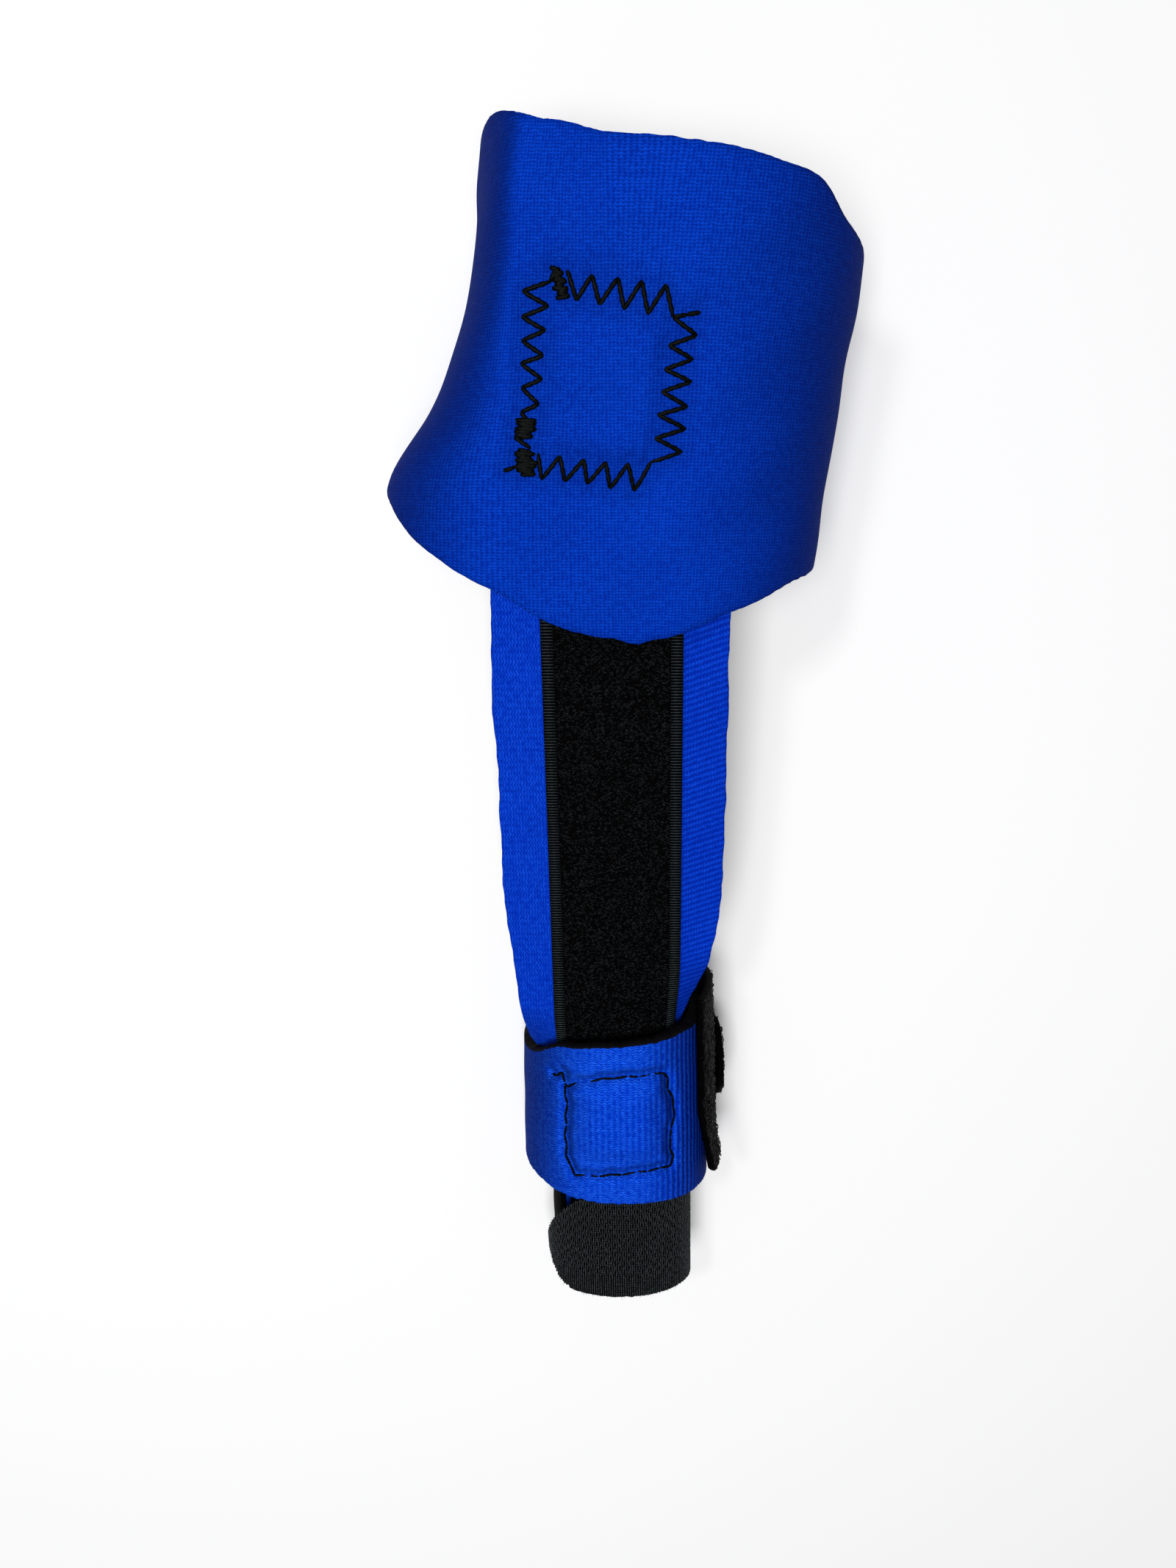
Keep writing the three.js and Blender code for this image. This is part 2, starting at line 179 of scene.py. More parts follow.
@dataclass(frozen=True)
class Girth:
    """A closed way round a wrist or a finger, whose place is counted in quarter turns."""

    centre: np.ndarray
    top: np.ndarray
    mid: float
    power: float
    thumb: HalfGirth
    little: HalfGirth

    def point(self, turn: np.ndarray, lift: np.ndarray | float) -> tuple[np.ndarray, np.ndarray]:
        """The x and z of points of the girth.

        Args:
            turn: quarter turns from the middle of the back, minus to the thumb side.
            lift: distance away from the hollow.

        Returns:
            x and z.
        """
        out = np.where(turn < 0, Side.THUMB.value, Side.LITTLE.value)
        quarter = np.abs(turn)

        def pick(name: str) -> np.ndarray:
            """The half's value at each point."""
            return np.where(turn < 0, getattr(self.thumb, name), getattr(self.little, name))

        flank, crest, foot, tail = (pick(name) for name in ("flank", "crest", "foot", "tail"))
        floor = pick("floor")
        upper = np.clip(quarter - 1, 0, 1) * math.pi / 2
        lower = np.clip(quarter - 2, 0, 1) * math.pi / 2
        bend = 2 / self.power
        x_upper = crest + out * (np.abs(flank - crest) + lift) * np.sin(upper) ** bend
        z_upper = self.mid + (self.top - self.mid + lift) * np.cos(upper) ** bend
        x_lower = foot + out * (np.abs(flank - foot) + lift) * np.cos(lower)
        z_lower = self.mid - (self.mid - floor + lift) * np.sin(lower)
        ranges = [quarter <= 1, quarter <= 2, quarter <= 3]
        x = np.select(
            ranges,
            [self.centre + (crest - self.centre) * quarter, x_upper, x_lower],
            foot + (tail - foot) * (quarter - 3),
        )
        z = np.select(ranges, [self.top + lift + 0 * x, z_upper, z_lower], floor - lift + 0 * x)
        return x, z


@dataclass(frozen=True)
class Grain:
    """Relief that the knit gives a surface: its ribs, and slow unevenness."""

    rib_pitch: float = 1.3
    rib_height: float = 0.05
    sway: float = 0.15
    sway_length: float = 17.0
    seed: int = 3

    def relief(self, points: Points, across: np.ndarray) -> np.ndarray:
        """How far each point stands out.

        Args:
            points: places on the plain surface.
            across: distance across the ribs, as far as the points.

        Returns:
            Heights in millimetres.
        """
        rng = np.random.default_rng(self.seed)
        slow = np.zeros(len(points))
        for _ in range(5):
            wave = rng.normal(size=3)
            wave *= 2 * math.pi / self.sway_length / np.linalg.norm(wave) * rng.uniform(0.7, 1.6)
            slow += np.sin(points @ wave + rng.uniform(0, 2 * math.pi)) / 5
        ribs = np.abs(np.cos(math.pi * across / self.rib_pitch)) - 2 / math.pi
        return self.sway * slow + self.rib_height * ribs


@dataclass
class Seam:
    """Thread sewn through a cloth: each stitch runs from one needle hole to the next."""

    holes: list[Points]
    pull: float = 0.35
    reach: float = 1.3

    def dent(self, points: Points) -> np.ndarray:
        """How far the thread pulls each point in, in millimetres."""
        samples = [a + (b - a) * t for line in self.holes for a, b in zip(line[:-1], line[1:])
                   for t in np.linspace(0, 1, 9)]
        tree = KDTree(len(samples))
        for i, sample in enumerate(samples):
            tree.insert(sample, i)
        tree.balance()
        low, high = np.min(samples, axis=0) - 4, np.max(samples, axis=0) + 4
        near = np.all((points > low) & (points < high), axis=1)
        dents = np.zeros(len(points))
        distance = np.array([tree.find(p)[2] for p in points[near]])
        dents[near] = self.pull * np.exp(-((distance / self.reach) ** 2))
        return dents


def linear(hex_colour: str) -> tuple[float, float, float, float]:
    """A colour as shaders take it.

    Args:
        hex_colour: an sRGB colour such as "#0d37b1".

    Returns:
        Linear red, green, blue and 1.
    """
    parts = [int(hex_colour[i:i + 2], 16) / 255 for i in (1, 3, 5)]
    return (*(c / 12.92 if c <= 0.04045 else ((c + 0.055) / 1.055) ** 2.4 for c in parts), 1.0)


def add(tree: bpy.types.NodeTree, kind: str, inputs: dict | None = None,
        **settings: object) -> bpy.types.Node:
    """Adds a node with its settings and links.

    Args:
        tree: the tree that gets the node.
        kind: the node's type.
        inputs: for each input's name or number, a value or the output that feeds it.
        settings: the node's own properties.

    Returns:
        The node.
    """
    node = tree.nodes.new(kind)
    for name, value in settings.items():
        setattr(node, name, value)
    for key, value in (inputs or {}).items():
        if isinstance(value, bpy.types.NodeSocket):
            tree.links.new(value, node.inputs[key])
        else:
            node.inputs[key].default_value = value
    return node


def new_material(name: str) -> tuple[bpy.types.Material, bpy.types.NodeTree]:
    """An empty material and its node tree."""
    material = bpy.data.materials.new(name)
    material.use_nodes = True
    material.node_tree.nodes.clear()
    return material, material.node_tree


def calc(tree: bpy.types.NodeTree, operation: str, *values: object) -> bpy.types.NodeSocket:
    """The result of a Math node for some numbers or outputs."""
    return add(tree, "ShaderNodeMath", dict(enumerate(values)), operation=operation).outputs[0]


def scaled(tree: bpy.types.NodeTree, vector: bpy.types.NodeSocket, factor: object) -> bpy.types.NodeSocket:
    """A vector or a colour times a number."""
    return add(tree, "ShaderNodeVectorMath", {0: vector, 3: factor}, operation="SCALE").outputs[0]


def between(tree: bpy.types.NodeTree, value: bpy.types.NodeSocket, low: float = 0.0, high: float = 1.0,
            start: float = 0.0, end: float = 1.0) -> bpy.types.NodeSocket:
    """A value's place between low and high, as a number from start to end."""
    return add(tree, "ShaderNodeMapRange", {"Value": value, "From Min": low, "From Max": high,
                                            "To Min": start, "To Max": end}).outputs[0]


def noise(tree: bpy.types.NodeTree, vector: bpy.types.NodeSocket, scale: float, detail: float,
          roughness: float = 0.5, output: str = "Fac") -> bpy.types.NodeSocket:
    """Soft noise whose blotches are about one over the scale wide, in the vector's unit."""
    return add(tree, "ShaderNodeTexNoise", {"Vector": vector, "Scale": scale, "Detail": detail,
                                            "Roughness": roughness}).outputs[output]


def strayed(tree: bpy.types.NodeTree, place: bpy.types.NodeSocket, scale: float, detail: float,
            reach: float) -> bpy.types.NodeSocket:
    """A place moved a little by noise, up to about half the reach."""
    chance = noise(tree, place, scale, detail, output="Color")
    centred = add(tree, "ShaderNodeVectorMath", {0: chance, 1: (0.5, 0.5, 0.5)}, operation="SUBTRACT")
    shift = scaled(tree, centred.outputs[0], reach)
    return add(tree, "ShaderNodeVectorMath", {0: place, 1: shift}, operation="ADD").outputs[0]


def ramp(tree: bpy.types.NodeTree, level: bpy.types.NodeSocket,
         stops: Sequence[tuple[float, str]]) -> bpy.types.NodeSocket:
    """A colour read between stops, each a place and an sRGB colour."""
    node = add(tree, "ShaderNodeValToRGB", {"Fac": level})
    elements = node.color_ramp.elements
    for i in (0, -1):
        elements[i].position, elements[i].color = stops[i][0], linear(stops[i][1])
    for place, colour in stops[1:-1]:
        elements.new(place).color = linear(colour)
    return node.outputs[0]


def close_material(tree: bpy.types.NodeTree, colour: object, height: bpy.types.NodeSocket, strength: float,
                   depth: float, roughness: float, gleam: float, more: dict | None = None) -> None:
    """Ends a material's tree with a shader whose surface has a fine relief.

    Args:
        tree: the material's tree.
        colour: the colour, or the output that gives it.
        height: the relief's height, from 0 to 1.
        strength: how strongly the relief turns the light.
        depth: how deep it is, in millimetres.
        roughness: the shader's roughness.
        gleam: the shader's specular level.
        more: further inputs of the shader.
    """
    bump = add(tree, "ShaderNodeBump", {"Height": height, "Strength": strength, "Distance": depth * MM})
    shader = add(tree, "ShaderNodeBsdfPrincipled", {
        "Base Color": colour, "Normal": bump.outputs[0], "Roughness": roughness,
        "Specular IOR Level": gleam, **(more or {})})
    add(tree, "ShaderNodeOutputMaterial", {"Surface": shader.outputs[0]})


@dataclass(frozen=True)
class KnitJersey:
    """Nylon jersey bonded to neoprene: rows of V stitches that stand in ribs, with painted shade between
    them and painted highlight on their tops.
    """

    name: str
    # Colours of the relief's hollows, middle and tops: the deep one holds painted shade and the lit one
    # painted highlight
    deep: str
    body: str
    lit: str
    wale: float = 1.25  # width of one column of stitches
    course: float = 0.55  # height of one row
    lean: float = 0.3  # how far a row rises and falls in a column
    rib_share: float = 0.08  # height of the ribs where the cloth is flat, beside the rows
    wander: float = 0.9  # how far the loops stray from their places
    relief: float = 0.18
    flank: float = 0.5  # how bright the colour stays where the cloth turns down: painted shade for the flanks, which the light from above leaves darker

    def build(self) -> bpy.types.Material:
        """Makes the material."""
        material, tree = new_material(self.name)
        uv = add(tree, "ShaderNodeUVMap", uv_map=CLOTH_UV).outputs[0]
        # Loops stray over one stitch, 1.1 mm apart
        cloth = strayed(tree, uv, 0.9, 3.0, self.wander)
        place = add(tree, "ShaderNodeSeparateXYZ", {0: cloth})
        rise = calc(tree, "PINGPONG", place.outputs[0], self.wale / 2)
        zigzag = calc(tree, "MULTIPLY_ADD", rise, self.lean / self.wale * 2, place.outputs[1])
        row_wave = calc(tree, "SINE", calc(tree, "MULTIPLY", zigzag, math.pi / self.course))
        # Rows fade and come back over a few stitches
        kept = between(tree, noise(tree, uv, 0.9, 2.0, roughness=0.6), 0.38, 0.6, start=0.4)
        row = calc(tree, "MULTIPLY", calc(tree, "ABSOLUTE", row_wave), kept)
        rib = calc(tree, "COSINE", calc(tree, "MULTIPLY", place.outputs[0], 2 * math.pi / self.wale))
        # Where ribs take over, the rows are lower
        ribbed = add(tree, "ShaderNodeAttribute", attribute_name=RIBBED).outputs["Fac"]
        rows = calc(tree, "MULTIPLY", row, between(tree, ribbed, start=1.0, end=0.45))
        height = calc(tree, "MULTIPLY_ADD", rib, between(tree, ribbed, start=self.rib_share, end=0.4), rows)
        # Fibres of the yarn, drawn 0.35 mm wide because real ones are too fine to show
        fuzzy = calc(tree, "MULTIPLY_ADD", noise(tree, cloth, 2.8, 3.0), 0.9, height)
        # Slow change of shade over 15 mm, as worn cloth has
        shade = calc(tree, "MULTIPLY_ADD", noise(tree, uv, 0.07, 2.0), 0.3, fuzzy)
        # Painted shade and highlight: the colour follows the knit's relief, darker in the hollows between
        # rows and ribs and lighter on their tops, besides the yarn's own tone and the slow patches
        relief_painted_colour = ramp(tree, between(tree, shade, -0.1, 1.75),
                    ((0.08, self.deep), (0.5, self.body), (0.92, self.lit)))
        # Painted shade: the colour is darkened where the cloth turns away from straight up and next to the
        # thread, as the shade attribute says
        turned = add(tree, "ShaderNodeAttribute", attribute_name=SHADE).outputs["Fac"]
        colour = scaled(tree, relief_painted_colour, between(tree, turned, start=1.0, end=self.flank))
        close_material(tree, colour, fuzzy, 0.9, self.relief, 0.75, 0.02, {
            "IOR": 1.5, "Sheen Weight": 0.01, "Sheen Roughness": 0.4, "Sheen Tint": linear("#2f62ff")})
        return material


@dataclass(frozen=True)
class FoamRubber:
    """Closed-cell chloroprene foam where it is cut: dull black with fine round pores."""

    name: str = "cut_foam_rubber"
    body: str = "#040305"
    lit: str = "#0d0c10"
    cell: float = 0.35  # width of a pore
    smear: float = 2.5  # width of a duller patch

    def build(self) -> bpy.types.Material:
        """Makes the material."""
        material, tree = new_material(self.name)
        place = add(tree, "ShaderNodeTexCoord").outputs["Object"]
        pores = add(tree, "ShaderNodeTexVoronoi", {"Vector": place, "Scale": 1 / (self.cell * MM)})
        depth = pores.outputs["Distance"]
        mixed = calc(tree, "MULTIPLY", depth, noise(tree, place, 1 / (self.smear * MM), 3.0))
        colour = ramp(tree, mixed, ((0.0, self.body), (0.5, self.lit)))
        close_material(tree, colour, depth, 0.5, 0.08, 0.9, 0.06)
        return material


@dataclass(frozen=True)
class LoopPile:
    """Nylon loop tape: a dark mat of tangled loops, with a fibre that catches light here and there."""

    name: str
    deep: str = "#000000"
    body: str = "#020203"
    lit: str = "#09090b"
    tangle: float = 0.55  # width of a tangled loop
    fibre: float = 0.3  # width of a strand, coarser than a real one so that it shows

    def build(self) -> bpy.types.Material:
        """Makes the material."""
        material, tree = new_material(self.name)
        place = add(tree, "ShaderNodeTexCoord").outputs["Object"]
        # Loops lean over each other, 1.6 mm apart
        tangled = strayed(tree, place, 1 / (1.6 * MM), 2.0, 1.2 * MM)
        loops = add(tree, "ShaderNodeTexVoronoi", {"Vector": tangled, "Scale": 1 / (self.tangle * MM)},
                    feature="DISTANCE_TO_EDGE")
        fibres = noise(tree, tangled, 1 / (self.fibre * MM), 4.0, roughness=0.65)
        height = calc(tree, "MULTIPLY_ADD", loops.outputs["Distance"], -0.6, fibres)
        colour = ramp(tree, height, ((0.25, self.deep), (0.52, self.body), (0.75, self.lit)))
        close_material(tree, colour, height, 1.0, 0.25, 0.6, 0.02)
        return material


@dataclass(frozen=True)
class DyedYarn:
    """Drawn nylon or polyester yarn: one shade that varies a little, with a soft gleam."""

    name: str
    body: str
    lit: str
    roughness: float = 0.5
    streak: float = 0.5  # length over which the shade changes
    gleam: float = 0.5
    filament: float = 0.12  # width of the fine relief

    def build(self) -> bpy.types.Material:
        """Makes the material."""
        material, tree = new_material(self.name)
        place = add(tree, "ShaderNodeTexCoord").outputs["Object"]
        shade = noise(tree, place, 1 / (self.streak * MM), 2.0)
        colour = ramp(tree, shade, ((0.38, self.body), (0.66, self.lit)))
        fine = noise(tree, place, 1 / (self.filament * MM), 1.0)
        close_material(tree, colour, fine, 0.35, 0.04, self.roughness, self.gleam)
        return material


@dataclass(frozen=True)
class WovenGround:
    """The close ground of a woven tape, between its raised threads."""

    name: str = "woven_ground"
    deep: str = "#000000"
    body: str = "#040405"
    pitch: float = 0.51  # of the warp; the weft is closer

    def build(self) -> bpy.types.Material:
        """Makes the material."""
        material, tree = new_material(self.name)
        uv = add(tree, "ShaderNodeUVMap", uv_map=CLOTH_UV).outputs[0]
        place = add(tree, "ShaderNodeSeparateXYZ", {0: uv})
        warp, weft = (calc(tree, "SINE", calc(tree, "MULTIPLY", place.outputs[axis], 2 * math.pi / pitch))
                      for axis, pitch in enumerate((self.pitch, self.pitch * 0.7)))
        height = calc(tree, "MULTIPLY_ADD", calc(tree, "MULTIPLY", warp, weft), 0.5, 0.5)
        colour = ramp(tree, height, ((0.0, self.deep), (1.0, self.body)))
        close_material(tree, colour, height, 0.8, 0.12, 0.7, 0.02)
        return material


@dataclass(frozen=True)
class PaleBoard:
    """Matt white board that the splint lies on."""

    name: str = "matt_white_board"
    body: str = "#ececed"
    tooth: float = 0.8  # width of its grain

    def build(self) -> bpy.types.Material:
        """Makes the material."""
        material, tree = new_material(self.name)
        place = add(tree, "ShaderNodeTexCoord").outputs["Object"]
        grain = noise(tree, place, 1 / (self.tooth * MM), 2.0)
        close_material(tree, linear(self.body), grain, 0.1, 0.02, 0.95, 0.1)
        return material


Finish = KnitJersey | FoamRubber | LoopPile | DyedYarn | WovenGround | PaleBoard


@dataclass(frozen=True)
class Finishes:
    """The finish of each material of the splint."""

    wrap: KnitJersey = KnitJersey(
        "wrap_knit_jersey", "#00187c", "#002896", "#043cb8", wale=0.62, course=0.5, lean=0.16,
        rib_share=0.26, wander=0.6, relief=0.09, flank=0.44)
    strip: KnitJersey = KnitJersey(
        "strip_knit_jersey", "#001884", "#0029a4", "#0c44cc", wale=1.15, wander=0.5, relief=0.12,
        flank=0.6)
    sleeve: KnitJersey = KnitJersey(
        "sleeve_knit_jersey", "#001890", "#0034b8", "#1a5eec", wander=0.95, relief=0.15, flank=0.32)
    foam: FoamRubber = FoamRubber()
    pile: LoopPile = LoopPile("fine_loop_pile")
    coarse_pile: LoopPile = LoopPile("coarse_loop_pile", tangle=1.1)
    curl: DyedYarn = DyedYarn("nylon_loop_fibre", "#050607", "#16191c", roughness=0.4, gleam=0.06)
    coarse_curl: DyedYarn = DyedYarn(
        "coarse_loop_fibre", "#030304", "#0d0f11", roughness=0.35, gleam=0.14)
    rib: DyedYarn = DyedYarn("selvedge_yarn", "#1b2224", "#2d3538", roughness=0.55, gleam=0.12)
    band_thread: DyedYarn = DyedYarn("band_warp_yarn", "#15181a", "#363b3d", gleam=0.12)
    ground: WovenGround = WovenGround()
    hook: DyedYarn = DyedYarn(
        "woven_hook_tape", "#050506", "#0f1012", roughness=0.6, streak=0.8, gleam=0.05)
    thread: DyedYarn = DyedYarn("sewing_thread", "#000101", "#090c0a", streak=0.4, gleam=0.04)
    blue_fuzz: DyedYarn = DyedYarn("jersey_fibre", "#0a33b4", "#1c50dc", roughness=0.6, gleam=0.1)
    black_fuzz: DyedYarn = DyedYarn("tape_fibre", "#050506", "#141517", roughness=0.6, gleam=0.2)
    board: PaleBoard = PaleBoard()


FINISHES = Finishes()
_built: dict[str, bpy.types.Material] = {}


def material_of(finish: Finish) -> bpy.types.Material:
    """The material of a finish, made once."""
    if finish.name not in _built:
        _built[finish.name] = finish.build()
    return _built[finish.name]


@dataclass(frozen=True)
class View:
    """The camera's place and lens, and the way from a pixel of its picture to a point."""

    width: int = 1600
    height: int = 2134
    focal: float = 1603.0  # in pixels
    place: tuple[float, float, float] = (0.0, -13.0, 248.98)
    tilt: float = -14.0  # degrees about X from straight down
    film: float = 36.0  # millimetres of film on the picture's long side

    def ray(self, pixel: tuple[float, float]) -> tuple[np.ndarray, np.ndarray]:
        """The camera's place and the direction in which a pixel looks."""
        x, y = (pixel[0] - self.width / 2) / self.focal, (self.height / 2 - pixel[1]) / self.focal
        cos, sin = math.cos(math.radians(self.tilt)), math.sin(math.radians(self.tilt))
        direction = np.array([x, y * cos + sin, y * sin - cos])
        return np.array(self.place), direction / np.linalg.norm(direction)

    def make(self) -> bpy.types.Object:
        """Makes the camera and gives it to the scene."""
        data = bpy.data.cameras.new("camera")
        data.sensor_fit = "VERTICAL"
        data.sensor_height = self.film
        data.lens = self.focal / self.height * self.film
        data.clip_start = 0.01
        camera = bpy.data.objects.new("camera", data)
        camera.location = np.array(self.place) * MM
        camera.rotation_euler = (math.radians(self.tilt), 0, 0)
        bpy.context.scene.collection.objects.link(camera)
        bpy.context.scene.camera = camera
        return camera


VIEW = View()


def link_mesh(name: str, mesh: bpy.types.Mesh) -> bpy.types.Object:
    """An object at the origin that shows a mesh."""
    piece = bpy.data.objects.new(name, mesh)
    bpy.context.scene.collection.objects.link(piece)
    return piece


def plain_object(name: str, points: Points, edges: Sequence, faces: Sequence,
                 **vectors: Points) -> bpy.types.Object:
    """An object from points in millimetres.

    Args:
        name: its name.
        points: its vertices.
        edges: pairs of vertices, where it has no faces.
        faces: its faces, or none.
        vectors: named vectors, one for each vertex.

    Returns:
        The object.
    """
    mesh = bpy.data.meshes.new(name)
    mesh.from_pydata((np.asarray(points) * MM).tolist(), np.asarray(edges).tolist(),
                     np.asarray(faces).tolist())
    for key, values in vectors.items():
        attribute = mesh.attributes.new(key, "FLOAT_VECTOR", "POINT")
        attribute.data.foreach_set("vector", np.asarray(values, np.float32).ravel())
    mesh.update()
    return link_mesh(name, mesh)


def even_turns(surface: Surface, runs: Sequence[tuple[float, float]], y: float,
               step: float) -> tuple[np.ndarray, np.ndarray]:
    """Places round a girth at even distances.

    Args:
        surface: the cloth's outer surface.
        runs: the quarter turns where each stretch starts and ends, one after another.
        y: where its length is measured.
        step: distance between places.

    Returns:
        The turns, and the distance of each from the start.
    """
    dense = np.concatenate([np.linspace(start, end, 200) for start, end in runs])
    points = surface(dense, np.full(len(dense), y), 0.0)
    length = np.concatenate([[0], np.cumsum(np.linalg.norm(np.diff(points, axis=0), axis=1))])
    want = np.linspace(0, length[-1], max(2, round(length[-1] / step)) + 1)
    k = np.clip(np.searchsorted(length, want, "right") - 1, 0, len(dense) - 2)
    share = (want - length[k]) / np.maximum(length[k + 1] - length[k], 1e-9)
    jump = np.abs(dense[k + 1] - dense[k]) > 1
    return np.where(jump, dense[k + 1], dense[k] + (dense[k + 1] - dense[k]) * share), want


def grid_normals(grid: Points) -> Points:
    """Unit vectors out of a grid of points whose columns run to the fingertip."""
    across, along = np.gradient(grid, axis=0), np.gradient(grid, axis=1)
    normal = np.cross(along, across)
    return normal / np.maximum(np.linalg.norm(normal, axis=2, keepdims=True), 1e-9)


def grid_quads(wide: int, long: int) -> np.ndarray:
    """The faces of a grid, as numbers of its points."""
    index = np.arange(wide * long).reshape(wide, long)
    corners = index[:-1, :-1], index[:-1, 1:], index[1:, 1:], index[1:, :-1]
    return np.stack(corners, axis=2).reshape(-1, 4)


@dataclass
class Cloth:
    """A wall of cloth: its outer and inner faces on one grid, closed round its edges.

    The grid's first index runs across, to the little-finger side over the back, and its second
    to the fingertip. The flat is the same grid measured on the cloth.
    """

    name: str
    outer: Points
    inner: Points
    flat: Points
    skin: Finish
    core: Finish
    bulge: float = 0.25  # how far the rims stand out
    rims: int = 4  # rows of faces between the outer and the inner face
    lip: bool = True  # whether the skin turns over the outer edge
    ribbed: np.ndarray | None = None  # how far ribs take over from rows at each point, from 0 to 1
    seam_painted_shade: np.ndarray | None = None  # painted shade next to the thread, from 0 to 1: how far thread draws the cloth together there

    def rim_index(self) -> np.ndarray:
        """The grid's edge, once round, as numbers of its points."""
        wide, long = self.outer.shape[:2]
        i = np.concatenate([np.arange(wide - 1), np.full(long - 1, wide - 1), np.arange(wide - 1, 0, -1),
                            np.zeros(long - 1, int)])
        j = np.concatenate([np.zeros(wide - 1, int), np.arange(long - 1), np.full(wide - 1, long - 1),
                            np.arange(long - 1, 0, -1)])
        return i * long + j

    def closed(self, rim: np.ndarray) -> tuple[Points, np.ndarray]:
        """The wall's points and faces: its outer face, its inner face, then the rows of its rims.

        Args:
            rim: the numbers of the points round the grid's edge.

        Returns:
            Points in millimetres, and faces that look out of the wall.
        """
        wide, long = self.outer.shape[:2]
        count = wide * long
        quads = grid_quads(wide, long)
        outer, inner = self.outer.reshape(-1, 3), self.inner.reshape(-1, 3)
        # A rim's rows stand out from the cloth's edge in a low arch
        near = self.outer[np.clip(rim // long, 1, wide - 2), np.clip(rim % long, 1, long - 2)]
        away = outer[rim] - near
        away /= np.maximum(np.linalg.norm(away, axis=1, keepdims=True), 1e-9)
        rows = [rim]
        points = [outer, inner]
        for k in range(1, self.rims):
            share = k / self.rims
            arch = self.bulge * math.sin(math.pi * share) ** 0.7
            points.append(outer[rim] * (1 - share) + inner[rim] * share + away * arch)
            rows.append(2 * count + (k - 1) * len(rim) + np.arange(len(rim)))
        rows.append(count + rim)
        band = [np.stack([a, np.roll(a, -1), np.roll(b, -1), b], axis=1)
                for a, b in zip(rows[:-1], rows[1:])]
        faces = np.concatenate([quads, quads[:, ::-1] + count, *band])
        points = np.concatenate(points)
        first = points[faces[:, 0]]
        sweep = np.cross(points[faces[:, 1]] - first, points[faces[:, 3]] - points[faces[:, 1]])
        if np.einsum("ij,ij->", first, sweep) < 0:
            faces = faces[:, ::-1]
        return points, faces

    def build(self) -> bpy.types.Object:
        """Makes the closed mesh, with its skin outside and its core on the rims and inside."""
        wide, long = self.outer.shape[:2]
        quads = (wide - 1) * (long - 1)
        rim = self.rim_index()
        points, faces = self.closed(rim)
        piece = plain_object(self.name, points, [], faces)
        mesh = piece.data

        def spread(values: np.ndarray) -> np.ndarray:
            """The grid's values for all points of the mesh."""
            return np.concatenate([values] * 2 + [values[rim]] * (self.rims - 1)).astype(np.float32)

        loops = np.zeros(len(mesh.loops), int)
        mesh.loops.foreach_get("vertex_index", loops)
        layer = mesh.uv_layers.new(name=CLOTH_UV)
        layer.data.foreach_set("uv", spread(self.flat.reshape(-1, 2))[loops].ravel())
        # Painted shade: darker where the outer face tilts from straight up, as on the flanks that the
        # overhead light leaves darker, and next to the thread
        lean = np.sqrt(1 - np.clip(grid_normals(self.outer)[:, :, 2].ravel(), 0, 1) ** 2)
        painted_shade = smooth(lean, 0.0, 0.92)
        if self.seam_painted_shade is not None:
            painted_shade = np.maximum(painted_shade, 0.4 * self.seam_painted_shade.ravel())
        ribbed = np.zeros(wide * long) if self.ribbed is None else self.ribbed.ravel()
        for key, values in ((SHADE, painted_shade), (RIBBED, ribbed)):
            attribute = mesh.attributes.new(key, "FLOAT", "POINT")
            attribute.data.foreach_set("value", spread(values))
        slots = np.ones(len(faces), int)
        slots[:quads] = 0
        if self.lip:
            slots[2 * quads:2 * quads + len(rim)] = 0
        mesh.polygons.foreach_set("material_index", slots)
        mesh.polygons.foreach_set("use_smooth", np.ones(len(faces), bool))
        for finish in (self.skin, self.core):
            mesh.materials.append(material_of(finish))
        mesh.update()
        return piece


